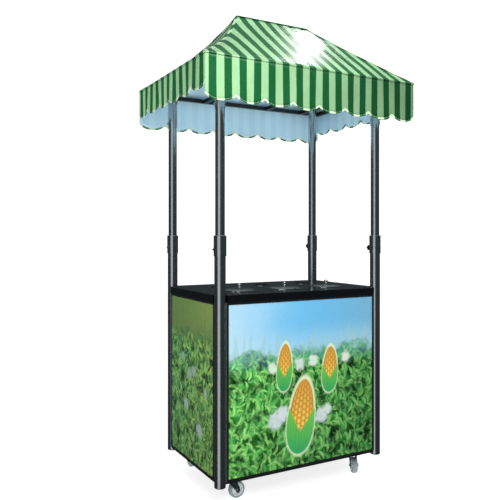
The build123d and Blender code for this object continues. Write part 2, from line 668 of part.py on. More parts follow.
def caster_tyre(name):
    rim, half = WHEEL_R - TYRE_T, WHEEL_W / 2
    ring = Cylinder(WHEEL_R, WHEEL_W) - Cylinder(rim, WHEEL_W + 1)
    shoulders = ring.edges().filter_by(GeomType.CIRCLE).filter_by(lambda e: abs(e.radius - WHEEL_R) < 0.1)
    return [wheel_place(name, fillet(shoulders, min(TYRE_SHOULDER, half - 1)))]


def caster_brake(name):
    """A pressed foot lever on a pin between the fork's cheeks, with a shoe over the tyre."""
    half = FORK_IN - BODY_GAP
    eye = rod_y(0, 0, -half, half, BRAKE_PIN_R + BRAKE_EYE_WALL)
    eye_r = BRAKE_PIN_R + BRAKE_EYE_WALL
    outline = [(0, 0), (BRAKE_LEVER, BRAKE_LEVER_RISE - BRAKE_LEVER_T), (BRAKE_LEVER, BRAKE_LEVER_RISE),
               (0, eye_r)]
    arm = extrude(Plane.XZ * make_face(Polyline(*outline, close=True)), half, both=True)
    lever = (eye + arm) - rod_y(0, 0, -half - 1, half + 1, BRAKE_PIN_R + RUN_GAP)
    return [placed(name, Pos(BRAKE_PIN_S, 0, BRAKE_PIN_Z) * lever)]


# ---- canopy --------------------------------------------------------------------------------------
def upper_poles():
    high = FRAME_BOTTOM - 2 * WELD_GAP - SOCKET_WALL
    return [pipe(sx * PX, sy * PY, POLE_BOTTOM, high, POLE_R, POLE_WALL) for sx, sy in CORNERS]


def pole_sockets():
    high = FRAME_BOTTOM - WELD_GAP
    sockets = []
    for sx, sy in CORNERS:
        x, y, z = sx * PX, sy * PY, SOCKET_BOTTOM + SOCKET_SCREW_UP
        socket = rod(x, y, SOCKET_BOTTOM, high, SOCKET_R)
        socket -= rod(x, y, SOCKET_BOTTOM - 1, high - SOCKET_WALL, POLE_R + WELD_GAP)
        socket -= rod_x(y, z, x, x + sx * POST_OD, SOCKET_SCREW_R + WELD_GAP)
        sockets.append(socket)
    return sockets


def socket_screws():
    screws = []
    for sx, sy in CORNERS:
        start, face = POLE_R + WELD_GAP, SOCKET_R + WELD_GAP
        x, y, z = sx * PX, sy * PY, SOCKET_BOTTOM + SOCKET_SCREW_UP
        head = Rot(0, 90 * sx, 0) * hexagon(SOCKET_SCREW_HEAD_R, SOCKET_SCREW_HEAD_T)
        shank = rod_x(y, z, x + sx * start, x + sx * (face + 1), SOCKET_SCREW_R)
        screws.append(Pos(x + sx * face, y, z) * head + shank)
    return screws


def frame_places():
    """Half sizes of the eave tubes' centre lines, and the tubes' height."""
    inset = FRAME_INSET + FRAME_TUBE / 2
    return EAVE_X - inset, EAVE_Y - inset, FRAME_BOTTOM + FRAME_TUBE / 2


def eave_frame():
    """Front and rear tubes right across, end tubes between, and cross tubes over the poles and the ridge."""
    fx, fy, z = frame_places()
    out, between = fx + FRAME_TUBE / 2, fy - FRAME_TUBE / 2 - WELD_GAP
    tube = (FRAME_TUBE, FRAME_TUBE, FRAME_WALL)
    tubes = [box_tube_x(-out, out, sy * fy, z, *tube) for sy in (-1, 1)]
    tubes += [box_tube_y(-between, between, x, z, *tube) for x in (-fx, fx, -PX, PX)]
    tubes += [box_tube_y(-between, between, sx * (RIDGE_HALF - FRAME_TUBE / 2), z, *tube) for sx in (-1, 1)]
    return tubes


def ridge_frame():
    """The ridge tube on two king posts."""
    (_, mid_y, mid_z), (_, _, ridge_z) = roof_rings()[1:]
    fall = (ridge_z - mid_z) / mid_y * FRAME_TUBE / 2
    high = ridge_z - CLOTH_T - fall - RIDGE_GAP
    low = high - FRAME_TUBE
    ridge = box_tube_x(-RIDGE_HALF, RIDGE_HALF, 0, (low + high) / 2, FRAME_TUBE, FRAME_TUBE, FRAME_WALL)
    posts = [box_tube_z(FRAME_TOP + WELD_GAP, low - WELD_GAP, sx * (RIDGE_HALF - FRAME_TUBE / 2), 0,
                        FRAME_TUBE, FRAME_WALL) for sx in (-1, 1)]
    return [ridge] + posts


def roof_rings():
    """The roof's level outlines from the eave up to the ridge, as (half x, half y, z)."""
    mid_x = EAVE_X + (RIDGE_HALF - EAVE_X) * SAG_AT
    mid_z = EAVE_Z + (RIDGE_Z - EAVE_Z) * SAG_AT - CLOTH_SAG
    return [(EAVE_X, EAVE_Y, EAVE_Z), (mid_x, EAVE_Y * (1 - SAG_AT), mid_z), (RIDGE_HALF, 0.0, RIDGE_Z)]


def canopy_roof():
    """Flat cloth panels, each an upright-sided slab so that neighbours meet face to face."""
    slabs = []
    rings = roof_rings()
    for (x0, y0, z0), (x1, y1, z1) in zip(rings, rings[1:]):
        for sy in (-1, 1):
            corners = [(-x0, sy * y0, z0), (x0, sy * y0, z0), (x1, sy * y1, z1), (-x1, sy * y1, z1)]
            slabs.append(slab_below(corners))
        for sx in (-1, 1):
            corners = [(sx * x0, -y0, z0), (sx * x0, y0, z0), (sx * x1, y1, z1)]
            corners += [(sx * x1, -y1, z1)] if y1 else []
            slabs.append(slab_below(corners))
    return slabs


def slab_below(corners):
    """The face through corners, thickened straight down."""
    return extrude(make_face(Polyline(*corners, close=True)), amount=CLOTH_T, dir=(0, 0, -1))


def canopy_valance():
    high, low = EAVE_Z - CLOTH_T - WELD_GAP, EAVE_Z - CLOTH_T - VALANCE_DROP
    inner_y = EAVE_Y - VALANCE_T
    sheets = [block(-EAVE_X, EAVE_X, sy * inner_y, sy * EAVE_Y, low, high) for sy in (-1, 1)]
    ends = inner_y - WELD_GAP
    sheets += [block(sx * (EAVE_X - VALANCE_T), sx * EAVE_X, -ends, ends, low, high)
               for sx in (-1, 1)]
    return sheets


# ---- every node and the function that makes it ---------------------------------------------------
NODES = {
    "lower_posts": lower_posts, "post_end_caps": post_end_caps, "post_collars": post_collars,
    "base_rails": base_rails, "top_rails": top_rails, "shelf_rails": shelf_rails,
    "floor_pan": floor_pan, "storage_shelf": storage_shelf,
    "counter_top": counter_top, "cup_rings": cup_rings,
    "front_panel": front_panel, "panel_edge_trims": panel_edge_trims, "panel_screws": panel_screws,
    "rear_jambs": rear_jambs, "hinge_fixed_leaves": hinge_fixed_leaves,
    "caster_plates": caster_plates, "caster_bolts": caster_bolts,
    "upper_poles": upper_poles, "pole_sockets": pole_sockets, "socket_screws": socket_screws,
    "eave_frame": eave_frame, "ridge_frame": ridge_frame,
    "canopy_roof": canopy_roof, "canopy_valance": canopy_valance,
}
SIDED = {
    "left": -1, "right": 1,
}


def main():
    os.makedirs("parts", exist_ok=True)
    made = {name: make() for name, make in NODES.items()}
    for side, sx in SIDED.items():
        made[f"{side}_panel"] = side_panel(sx)
        made[f"rear_door_{side}"] = rear_door(sx)
        made[f"door_handle_{side}"] = door_handle(sx)
        made[f"hinge_moving_{side}"] = hinge_moving_leaves(sx)
    for label, x in zip(("left", "middle", "right"), WELLS_X):
        made[f"food_pot_{label}"] = food_pot(x)
        made[f"pot_lid_{label}"] = pot_lid(x)
    for name, (sx, sy, _) in CASTERS.items():
        made[f"lock_screw_{name}"] = lock_screw(sx, sy)
        made[f"caster_{name}_fork"] = caster_fork(name)
        made[f"caster_{name}_axle"] = caster_axle(name)
        made[f"caster_{name}_hub"] = caster_hub(name)
        made[f"caster_{name}_tyre"] = caster_tyre(name)
    for name in BRAKED:
        made[f"caster_{name}_brake"] = caster_brake(name)
    for name, solids in made.items():
        flat = [s for piece in solids for s in piece.solids()]
        export_step(Compound(children=flat), os.path.join("parts", name + ".step"))


main()
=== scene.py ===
"""Looks of a push vending cart: printed box, black counter, casters and a striped canopy."""
import math

import bmesh
import bpy
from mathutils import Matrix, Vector, noise


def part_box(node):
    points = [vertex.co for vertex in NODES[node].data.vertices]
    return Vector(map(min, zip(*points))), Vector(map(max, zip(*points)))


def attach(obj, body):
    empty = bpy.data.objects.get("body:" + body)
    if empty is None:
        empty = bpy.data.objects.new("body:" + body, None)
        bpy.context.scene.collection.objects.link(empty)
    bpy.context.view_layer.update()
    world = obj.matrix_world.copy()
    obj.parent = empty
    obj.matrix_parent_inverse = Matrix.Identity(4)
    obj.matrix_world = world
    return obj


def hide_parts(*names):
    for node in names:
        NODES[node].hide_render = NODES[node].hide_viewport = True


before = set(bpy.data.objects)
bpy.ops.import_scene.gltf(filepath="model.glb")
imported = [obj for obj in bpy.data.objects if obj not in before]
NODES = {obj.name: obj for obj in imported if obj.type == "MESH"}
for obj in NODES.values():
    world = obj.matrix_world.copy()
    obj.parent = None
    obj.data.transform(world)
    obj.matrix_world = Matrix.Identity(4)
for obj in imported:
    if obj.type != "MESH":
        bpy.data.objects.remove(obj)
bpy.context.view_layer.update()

bl_info = {
    "name": "Push vending cart",
    "version": (1, 0, 0),
    "blender": (4, 5, 0),
    "location": "View3D > Sidebar > Cart",
    "description": "Builds the finishes, canopy cloth and stage of a push vending cart",
    "category": "Object",
}

# ---- sizes taken from the cart, in metres
MM = 0.001
ROOF_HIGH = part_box("canopy_roof")[1]
VALANCE_LOW, VALANCE_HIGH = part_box("canopy_valance")
FRONT_LOW, FRONT_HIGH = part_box("front_panel")
SIDE_LOW, SIDE_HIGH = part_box("left_panel")
EAVE_X, EAVE_Y = ROOF_HIGH.x, ROOF_HIGH.y
EAVE_Z = VALANCE_HIGH.z + 0.003  # the roof cloth laps over the top of the valance
RIDGE_X, RIDGE_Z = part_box("ridge_frame")[1].x, ROOF_HIGH.z
FRONT_DROP = VALANCE_HIGH.z - VALANCE_LOW.z
CORNERS = ("front_left", "front_right", "rear_left", "rear_right")

# ---- kinds of node, and settings that many of them share
MATH, MIX, VECTOR = "ShaderNodeMath", "ShaderNodeMix", "ShaderNodeVectorMath"
NOISE, CELLS, RANGE = "ShaderNodeTexNoise", "ShaderNodeTexVoronoi", "ShaderNodeMapRange"
MAPPING, SPLIT, JOIN = "ShaderNodeMapping", "ShaderNodeSeparateXYZ", "ShaderNodeCombineXYZ"
COORDS, BUMP, RAMP = "ShaderNodeTexCoord", "ShaderNodeBump", "ShaderNodeValToRGB"
BLEND = {"data_type": "RGBA"}  # one colour over another
TINT = {"data_type": "RGBA", "blend_type": "MULTIPLY"}  # a colour darkened or lightened by a tone
SMOOTH = {"interpolation_type": "SMOOTHSTEP"}  # a range with soft ends
LAID = {"vector_type": "TEXTURE"}  # a pattern put at a place, at a size in metres
STEPPED = {"mode": "LENGTH"}  # points at even steps along a path


# ---- small helpers
def linear(code):
    """Turns an sRGB hex colour into linear red, green, blue and alpha."""
    parts = [int(code[i:i + 2], 16) / 255 for i in (1, 3, 5)]
    return tuple(p / 12.92 if p <= 0.04045 else ((p + 0.055) / 1.055) ** 2.4 for p in parts) + (1.0,)


def add(tree, kind, settings=None, inputs=None):
    """Adds a node, with its settings or its operation, and fills or links its inputs by place or by name."""
    made = tree.nodes.new(kind)
    if isinstance(settings, str):
        settings = {"operation": settings}
    for name, value in (settings or {}).items():
        if name == "stops":
            spots = made.color_ramp.elements
            made.color_ramp.interpolation = "B_SPLINE"
            spots[0].position, spots[0].color = value[0][0], linear(value[0][1])
            spots[-1].position, spots[-1].color = value[-1][0], linear(value[-1][1])
            for place, code in value[1:-1]:
                spots.new(place).color = linear(code)
        else:
            setattr(made, name, value)
    shown = [s for s in made.inputs if s.enabled]
    pairs = enumerate(inputs) if isinstance(inputs, (list, tuple)) else (inputs or {}).items()
    for key, value in pairs:
        spot = shown[key] if isinstance(key, int) else next(s for s in shown if s.name == key)
        if isinstance(value, bpy.types.Node):
            value = next(s for s in value.outputs if s.enabled)
        if isinstance(value, bpy.types.NodeSocket):
            tree.links.new(value, spot)
        else:
            spot.default_value = value
    return made


def material(name):
    """A new material with an empty node tree, and its Principled shader."""
    made = bpy.data.materials.new(name)
    made.use_nodes = True
    tree = made.node_tree
    tree.nodes.clear()
    shader = add(tree, "ShaderNodeBsdfPrincipled")
    add(tree, "ShaderNodeOutputMaterial", None, {"Surface": shader})
    return made, tree, shader


def connect(tree, shader, base, rough, normal):
    """Links a colour, a roughness and a bumped normal to a shader."""
    for name, value in (("Base Color", base), ("Roughness", rough), ("Normal", normal)):
        tree.links.new(next(s for s in value.outputs if s.enabled), shader.inputs[name])


def finish_nodes(made, *names):
    """Gives a material to pieces of the cart, by name."""
    for name in names:
        slots = NODES[name].material_slots
        if not slots:
            NODES[name].data.materials.append(made)
        for slot in slots:
            slot.material = made


def surface(name, code, rough, metal=0.0, grain=2.0, stretch=(1, 1, 1), vary=0.08, rough_vary=0.08, bump=0.05,
            depth=0.05, wear=None):
    """A finish with an uneven tone, roughness and surface: grain and depth of the bump in millimetres."""
    made, tree, shader = material(name)
    place = add(tree, COORDS).outputs["Object"]
    scaled = add(tree, MAPPING, None, {"Vector": place, "Scale": stretch})
    fine = add(tree, NOISE, None, {"Vector": scaled, "Scale": 1 / (grain * MM), "Detail": 3.0})
    broad = add(tree, NOISE, None, {"Vector": place, "Scale": 7.0, "Roughness": 0.6})
    tone = add(tree, MATH, "MULTIPLY", [add(tree, MATH, "ADD", [fine, broad]), 0.5])
    shade = add(tree, RANGE, None, [tone, 0.3, 0.7, 1 - vary, 1 + vary])
    base = add(tree, MIX, TINT, [1.0, linear(code), shade])
    if wear:
        edge = add(tree, RANGE, None, [broad, 0.58, 0.7, 0.0, 0.5])
        base = add(tree, MIX, BLEND, [edge, base, linear(wear)])
    gloss = add(tree, RANGE, None, [tone, 0.3, 0.7, max(0.02, rough - rough_vary), rough + rough_vary])
    lumps = add(tree, BUMP, None, {"Strength": bump, "Distance": depth * MM, "Height": fine})
    connect(tree, shader, base, gloss, lumps)
    shader.inputs["Metallic"].default_value = metal
    return made


def new_object(name, verts, faces, edges=()):
    """A mesh object at the origin, in the scene."""
    mesh = bpy.data.meshes.new(name)
    mesh.from_pydata([tuple(v) for v in verts], list(edges), list(faces))
    mesh.update()
    obj = bpy.data.objects.new(name, mesh)
    bpy.context.scene.collection.objects.link(obj)
    return obj


# ---- printed field: sky, maize leaves, blossom and plain cobs
KERNEL = 0.013  # half the height of a row of kernels, in metres
# layers of leaves, back to front: turn in degrees, width in metres, seed, then blade, lit blade and rib
LEAVES = (
    (20, 0.10, 3.1, ("#1d6b33", "#3f9a48", "#5cb565")),
    (60, 0.085, 7.7, ("#2a7d3c", "#4fae58", "#7cc982")),
    (-10, 0.07, 12.3, ("#358f42", "#68bf68", "#9ad99a")),
    (30, 0.06, 17.9, ("#2f8540", "#5cb862", "#8fd492")),
    (45, 0.05, 23.5, ("#4ba04a", "#86cc70", "#b9e8a6")),
    (0, 0.042, 29.0, ("#5fb358", "#a0da84", "#cdf0bc")),
)
# the same layers in the olive of the side prints
OLIVES = (
    ("#265733", "#477a40", "#6f9c5c"), ("#22522f", "#3f7540", "#6a9858"), ("#366a38", "#6d8f46", "#94ad62"),
    ("#2c6238", "#588542", "#86a862"), ("#456f38", "#849a48", "#a8b56a"), ("#3a6c3e", "#6e9048", "#9cb068"),
)
SIDE_LEAVES = tuple((turn + 8, wide, seed + 41.0, shades)
                    for (turn, wide, seed, _), shades in zip(LEAVES, OLIVES))
# tufts of blossom: place across and up in metres, size in metres, colour
FRONT_TUFTS = (
    ((-0.175, 0.585), 0.03, "#dfe9dc"), ((-0.03, 0.59), 0.03, "#d5e6e0"), ((0.045, 0.6), 0.03, "#dbe9de"),
    ((0.235, 0.6), 0.028, "#dfeadb"), ((-0.16, 0.345), 0.045, "#ccd9e2"), ((-0.12, 0.375), 0.035, "#d2dde4"),
    ((0.09, 0.335), 0.04, "#cfdbe0"), ((0.125, 0.36), 0.03, "#d3dfe0"),
)
SIDE_TUFTS = (
    ((0.02, 0.53), 0.03, "#9db8a8"), ((-0.03, 0.55), 0.03, "#a4bcae"), ((-0.16, 0.47), 0.025, "#a7bba8"),
    ((0.1, 0.6), 0.025, "#9db6a8"), ((0.06, 0.38), 0.03, "#a2bcb2"), ((-0.09, 0.29), 0.035, "#a6c0b8"),
)
# cobs: place across and up, half width and half height in metres, lean in degrees
COBS = (
    ((-0.112, 0.585), 0.045, 0.112, -3.0), ((0.142, 0.552), 0.05, 0.112, -3.0),
    ((-0.02, 0.352), 0.082, 0.178, -7.0),
)
# sky from left to right; the ground's dark and light and the tassels; painted light and shade on the leaves from
# one end to the other, as light falls off to the right
FRONT_SKY = ("#bce0f2", "#74c0ea", "#62b8e8", "#74acca")
SIDE_SKY = ("#6d8f52", "#729052", "#7d9a50", "#8ca35c")
FRONT_GROUND, SIDE_GROUND = ("#173f1d", "#37853a", "#9cc4b8"), ("#1f3f26", "#3f6b3a", "#6d8a52")
FRONT_SKYLINE, SIDE_SKYLINE = 0.655, 0.74  # height of the furthest leaves, in metres
FRONT_PAINTED_LIGHT = ((0.70, 0.88, 0.56, 1), (0.30, 0.43, 0.28, 1))
SIDE_PAINTED_LIGHT = ((1.0, 1.36, 1.55, 1), (1.25, 1.36, 1.2, 1))


def leaf_layer(tree, spot, under, turn, size, seed, shades, top):
    """Pointed leaves, one to a cell and each turned its own way, over a colour: size in metres."""
    laid = add(tree, MAPPING, LAID,
               {"Vector": spot, "Location": (seed, seed * 0.37, 0), "Scale": (size, size, 1)})
    cell = add(tree, CELLS, {"voronoi_dimensions": "2D"}, {"Vector": laid, "Scale": 1.0, "Randomness": 0.95})
    luck = add(tree, SPLIT, None, [cell.outputs["Color"]])
    angle = add(tree, MATH, "MULTIPLY_ADD", [luck.outputs["Z"], 2.2, math.radians(turn)])
    offset = add(tree, VECTOR, "SUBTRACT", [laid, cell.outputs["Position"]])
    turned = add(tree, "ShaderNodeVectorRotate", {"rotation_type": "Z_AXIS"}, {"Vector": offset, "Angle": angle})
    x, y, _ = add(tree, SPLIT, None, [turned]).outputs
    along = add(tree, MATH, "MULTIPLY", [x, x])
    arched = add(tree, MATH, "MULTIPLY_ADD", [along, 0.5, y])
    across = add(tree, MATH, "ABSOLUTE", [arched])
    half = add(tree, MATH, "MULTIPLY_ADD", [along, -0.5, 0.2])
    inside = add(tree, RANGE, SMOOTH, [add(tree, MATH, "SUBTRACT", [half, across]), -0.02, 0.06])
    tone = add(tree, MATH, "MULTIPLY_ADD", [arched, 1.8, luck.outputs["X"]])
    blade = add(tree, MIX, BLEND, [tone, linear(shades[0]), linear(shades[1])])
    rib = add(tree, RANGE, None, [across, 0.0, 0.09, 0.6, 0.0])
    blade = add(tree, MIX, BLEND, [rib, blade, linear(shades[2])])
    cover = add(tree, MATH, "MULTIPLY", [inside, top])
    return add(tree, MIX, BLEND, [cover, under, blade])


def blossom(tree, spot, under, at, size, code, seed):
    """A loose tuft of pale petals with soft edges."""
    torn = add(tree, NOISE, None, {"Vector": spot, "Scale": 42.0, "Distortion": seed * 0.1})
    gap = add(tree, VECTOR, "DISTANCE", [spot, (at[0], at[1], 0)])
    edge = add(tree, MATH, "MULTIPLY_ADD", [torn, size * 1.1, gap.outputs["Value"]])
    cover = add(tree, RANGE, SMOOTH, [edge, size * 1.05, size * 1.75, 0.85, 0.0])
    return add(tree, MIX, BLEND, [cover, under, linear(code)])


def cob(tree, spot, under, at, half_wide, half_tall, lean):
    """A plain maize cob: rows of kernels above, two husk leaves below and a pale edge."""
    laid = add(tree, MAPPING, LAID,
               {"Vector": spot, "Location": (at[0], at[1], 0), "Rotation": (0, 0, math.radians(lean)),
                "Scale": (half_wide, half_tall, 1)})
    x, y, _ = add(tree, SPLIT, None, [laid]).outputs
    wide = add(tree, MATH, "DIVIDE", [x, add(tree, MATH, "MULTIPLY_ADD", [y, -0.16, 0.9])])
    side = add(tree, MATH, "ABSOLUTE", [wide])
    round_x = add(tree, MATH, "POWER", [side, 2.0])
    round_y = add(tree, MATH, "POWER", [add(tree, MATH, "ABSOLUTE", [y]), 2.3])
    reach = add(tree, MATH, "ADD", [round_x, round_y])
    halo = add(tree, RANGE, None, [reach, 1.0, 1.25, 0.9, 0.0])
    result = add(tree, MIX, BLEND, [halo, under, linear("#dcecc4")])
    # kernels: columns close up towards the sides of the cob, as they do on a round one
    room = add(tree, MATH, "MAXIMUM", [add(tree, MATH, "SUBTRACT", [1.0, round_y]), 0.02])
    share = add(tree, MATH, "DIVIDE", [wide, add(tree, MATH, "SQRT", [room])])
    turn = add(tree, MATH, "ARCSINE", [add(tree, MATH, "MINIMUM", [share, 0.999])])
    column = add(tree, MATH, "MULTIPLY", [turn, 3.2])
    shift = add(tree, MATH, "MULTIPLY", [add(tree, MATH, "FLOOR", [column]), 0.5])
    row = add(tree, MATH, "MULTIPLY_ADD", [y, half_tall / KERNEL / 2, shift])
    u = add(tree, MATH, "SUBTRACT", [add(tree, MATH, "FRACT", [column]), 0.5])
    v = add(tree, MATH, "SUBTRACT", [add(tree, MATH, "FRACT", [row]), 0.5])
    bulge = add(tree, VECTOR, "LENGTH", [add(tree, JOIN, None, [u, v, 0.0])])
    grain = add(tree, RANGE, None, [bulge.outputs["Value"], 0.2, 0.62, 1.0, 0.0])
    upper = add(tree, RANGE, None, [y, -0.3, 0.8])
    kernel = add(tree, MIX, BLEND, [upper, linear("#f2cf55"), linear("#d9a13c")])
    kernel = add(tree, MIX, BLEND, [grain, linear("#b9761f"), kernel])
    dusk = add(tree, RANGE, None, [side, 0.45, 1.0, 0.0, 0.45])
    kernel = add(tree, MIX, BLEND, [dusk, kernel, linear("#9a5d1c")])
    inside = add(tree, RANGE, None, [reach, 0.8, 0.9, 1.0, 0.0])
    result = add(tree, MIX, BLEND, [inside, result, kernel])
    # husk: two leaves that part in a V below the kernels
    vee = add(tree, MATH, "MULTIPLY_ADD", [side, 0.62, -0.42])
    below = add(tree, RANGE, None, [add(tree, MATH, "SUBTRACT", [vee, y]), -0.02, 0.03])
    husk = add(tree, MATH, "MULTIPLY", [below, add(tree, RANGE, None, [reach, 0.96, 1.04, 1.0, 0.0])])
    veins = add(tree, MATH, "SINE", [add(tree, MATH, "MULTIPLY", [turn, 26.0])])
    tone = add(tree, RANGE, None, [add(tree, MATH, "MULTIPLY_ADD", [veins, 0.12, y]), -1.0, 0.2])
    green = add(tree, MIX, BLEND, [tone, linear("#23a05a"), linear("#6fc043")])
    return add(tree, MIX, BLEND, [husk, result, green])


def field_print(name, across, edges, sky, ground_shades, leaves, tufts, cobs, skyline, painted_light):
    """A laminated print of a maize field: across is its level axis, and edges its left, right and top."""
    made, tree, shader = material(name)
    coords = add(tree, COORDS)
    place = coords.outputs["Object"]
    where = add(tree, SPLIT, None, [place])
    x, y = where.outputs[across], where.outputs["Z"]
    spot = add(tree, JOIN, None, [x, y, 0.0]).outputs[0]
    run = add(tree, RANGE, None, [x, edges[0], edges[1]])
    rise = add(tree, RANGE, None, [y, skyline, edges[2]])
    cloud = add(tree, NOISE, None, {"Vector": spot, "Scale": 2.5})
    drift = add(tree, MATH, "ADD", [run, add(tree, MATH, "MULTIPLY_ADD", [cloud, 0.4, -0.2])])
    air = add(tree, RAMP, {"stops": tuple(zip((0.0, 0.3, 0.6, 1.0), sky))}, [drift])
    haze = add(tree, RANGE, SMOOTH, [rise, 0.0, 0.6, 0.4, 0.0])
    air = add(tree, MIX, BLEND, [haze, air, linear(sky[0])])
    # tassels: thin upright strokes that fade out into the sky
    reeds = add(tree, MAPPING, LAID, {"Vector": spot, "Scale": (0.018, 0.16, 1)})
    reed = add(tree, NOISE, None, {"Vector": reeds, "Scale": 1.0})
    height = add(tree, MATH, "MULTIPLY_ADD", [reed, 0.36, skyline - 0.13])
    under = add(tree, MATH, "SUBTRACT", [height, y])
    stroke = add(tree, RANGE, None, [under, -0.01, 0.05, 0.0, 0.5])
    back = add(tree, MIX, BLEND, [stroke, air, linear(ground_shades[2])])
    ground = add(tree, NOISE, None, {"Vector": spot, "Scale": 16.0, "Detail": 4.0, "Roughness": 0.62})
    lit = add(tree, RANGE, None, [ground, 0.36, 0.64])
    depths = add(tree, MIX, BLEND, [lit, linear(ground_shades[0]), linear(ground_shades[1])])
    ragged = add(tree, NOISE, None, {"Vector": spot, "Scale": 11.0, "Detail": 5.0, "Roughness": 0.7})
    hill = add(tree, MATH, "MULTIPLY_ADD", [ragged, 0.24, skyline - 0.13])
    field = add(tree, RANGE, SMOOTH, [add(tree, MATH, "SUBTRACT", [hill, y]), -0.03, 0.05])
    picture = add(tree, MIX, BLEND, [field, back, depths])
    for turn, wide, seed, shades in leaves:
        picture = leaf_layer(tree, spot, picture, turn, wide, seed, shades, field)
    # light falls through in clumps and fades towards the ground; painted light and shade also change the leaves
    # from one end to the other
    light = add(tree, NOISE, None, {"Vector": spot, "Scale": 15.0, "Detail": 3.0, "Roughness": 0.6})
    fleck = add(tree, NOISE, None, {"Vector": spot, "Scale": 52.0, "Roughness": 0.6})
    light = add(tree, MATH, "MULTIPLY_ADD", [fleck, 0.45, add(tree, MATH, "SUBTRACT", [light, 0.225])])
    low = add(tree, RANGE, None, [y, 0.15, 0.55, 0.8, 1.0])
    # painted light and shade: the leaves' tint runs from one end of the panel to the other
    end = add(tree, MIX, BLEND, [run, *painted_light])
    glow = add(tree, MATH, "MULTIPLY", [low, add(tree, RANGE, None, [light, 0.33, 0.54, 0.3, 1.35])])
    end = add(tree, MIX, TINT, [1.0, end, glow])
    end = add(tree, MIX, BLEND, [field, (1, 1, 1, 1), end])
    picture = add(tree, MIX, TINT, [1.0, picture, end])
    # mist over the furthest leaves
    mist = add(tree, RANGE, SMOOTH, [y, skyline - 0.1, skyline + 0.06, 0.0, 0.45])
    mist = add(tree, MATH, "MULTIPLY", [mist, field])
    picture = add(tree, MIX, BLEND, [mist, picture, linear(sky[1])])
    for count, (at, wide, code) in enumerate(tufts):
        picture = blossom(tree, spot, picture, at, wide, code, count)
    for at, half_wide, half_tall, lean in cobs:
        picture = cob(tree, spot, picture, at, half_wide, half_tall, lean)
    # the film is on the outer face alone: the edges and the back are plain grey sheet
    out = "Y" if across == "X" else "X"
    facing = add(tree, SPLIT, None, [coords.outputs["Normal"]])
    outer = add(tree, MATH, "MULTIPLY", [facing.outputs[out], where.outputs[out]])
    outer = add(tree, RANGE, None, [outer, 0.1, 0.15])
    picture = add(tree, MIX, BLEND, [outer, linear("#a9adab"), picture])
    # vinyl film: a faint 3 mm orange peel under a clear laminate
    peel = add(tree, NOISE, None, {"Vector": place, "Scale": 1 / (3 * MM)})
    waves = add(tree, NOISE, None, {"Vector": place, "Scale": 9.0, "Detail": 1.0})
    lumps = add(tree, BUMP, None, {"Strength": 0.12, "Distance": 0.06 * MM, "Height": peel})
    gloss = add(tree, RANGE, None, [waves, 0.3, 0.7, 0.22, 0.34])
    connect(tree, shader, picture, gloss, lumps)
    shader.inputs["Coat Weight"].default_value = 0.15
    return made


# ---- canopy cloth
ROOF_ROWS, ROOF_COLUMNS = 30, {"x": 96, "y": 60}
VALANCE_ROWS, VALANCE_COLUMNS = 10, {"x": 192, "y": 144}
CORNER_GAP = 0.0012  # between the ends of two valances, on each side of a corner
HEM_DROPS, HEM_OUT = (0.007, 0.004), 0.0016  # the roof's turned-down hem, and how far it stands out
SAG, LEFT_SAG, SAG_REACH = 0.05, 0.28, 0.12  # shares of the rise, and how far along the left sag dies out
VALANCE_TOP, VALANCE_IN = 0.004, 0.0008  # below the eave and inside it
FOLD, CREASE = 0.0035, 0.002  # swing of the valance's folds and creases
# the four sides: the axis that each runs along, and which way it faces
SIDES = (("x", -1), ("x", 1), ("y", -1), ("y", 1))
OTHER = {"x": "y", "y": "x"}
EAVE, RIDGE = {"x": EAVE_X, "y": EAVE_Y}, {"x": RIDGE_X, "y": 0.0}


def side_point(axis, along, away):
    """Left-right and front-rear places, from one along a side and one away from the middle."""
    return (along, away) if axis == "x" else (away, along)


def wrinkle(x, y, z, size):
    """Height of a soft crease at a place, from two wavelengths of smooth noise."""
    slow = noise.noise(Vector((x * 5.0, y * 5.0, z * 5.0)))
    fast = noise.noise(Vector((x * 17.0 + 4.0, y * 17.0, z * 9.0)))
    return size * (slow + 0.4 * fast)


def hollow(x):
    """How far the slope sags below a straight line: deep at the left hips, almost straight elsewhere."""
    return SAG + LEFT_SAG * math.exp(-(x + EAVE_X) / SAG_REACH)


def slope(start, end, t, size):
    """A point part of the way from the eave to the ridge, with its sag and creases."""
    x, y = start[0] + (end[0] - start[0]) * t, start[1] + (end[1] - start[1]) * t
    c = hollow(start[0])
    z = EAVE_Z + (RIDGE_Z - EAVE_Z) * ((1 - c) * t + c * t ** 3)
    calm = min(1.0, 6 * t) * min(1.0, 5 * (1 - t))
    return Vector((x, y, z + calm * wrinkle(x, y, z, size)))


def sheet_faces(columns, rows, first):
    """Quads of a grid of columns by rows of corners, numbered from first."""
    corners = [first + i * rows + j for i in range(columns - 1) for j in range(rows - 1)]
    return [(a, a + rows, a + rows + 1, a + 1) for a in corners]


def sheet_object(name, sheets, thick, outer, inner):
    """One cloth from grids of (point, place in the stripes, way down), with a thickness and a pale back."""
    verts, faces, marks = [], [], []
    for grid in sheets:
        faces += sheet_faces(len(grid), len(grid[0]), len(verts))
        for column in grid:
            verts += [p for p, _, _ in column]
            marks += [(u, v) for _, u, v in column]
    obj = new_object(name, verts, faces)
    mesh = obj.data
    stripes = mesh.uv_layers.new(name="stripes")
    for loop in mesh.loops:
        stripes.data[loop.index].uv = marks[loop.vertex_index]
    shape = bmesh.new()
    shape.from_mesh(mesh)
    bmesh.ops.remove_doubles(shape, verts=shape.verts, dist=0.0002)
    bmesh.ops.recalc_face_normals(shape, faces=shape.faces)
    shape.to_mesh(mesh)
    shape.free()
    mesh.shade_smooth()
    for made in (outer, inner):
        mesh.materials.append(made)
    wall = obj.modifiers.new("thickness", "SOLIDIFY")
    wall.thickness, wall.offset = thick, -1.0
    wall.material_offset, wall.material_offset_rim = 1, 0
    wall.use_even_offset = False
    return obj


def apply_all(obj):
    """Replaces an object's mesh with what its modifiers make, and drops them."""
    graph = bpy.context.evaluated_depsgraph_get()
    mesh = bpy.data.meshes.new_from_object(obj.evaluated_get(graph))
    obj.modifiers.clear()
    obj.data = mesh
    return obj


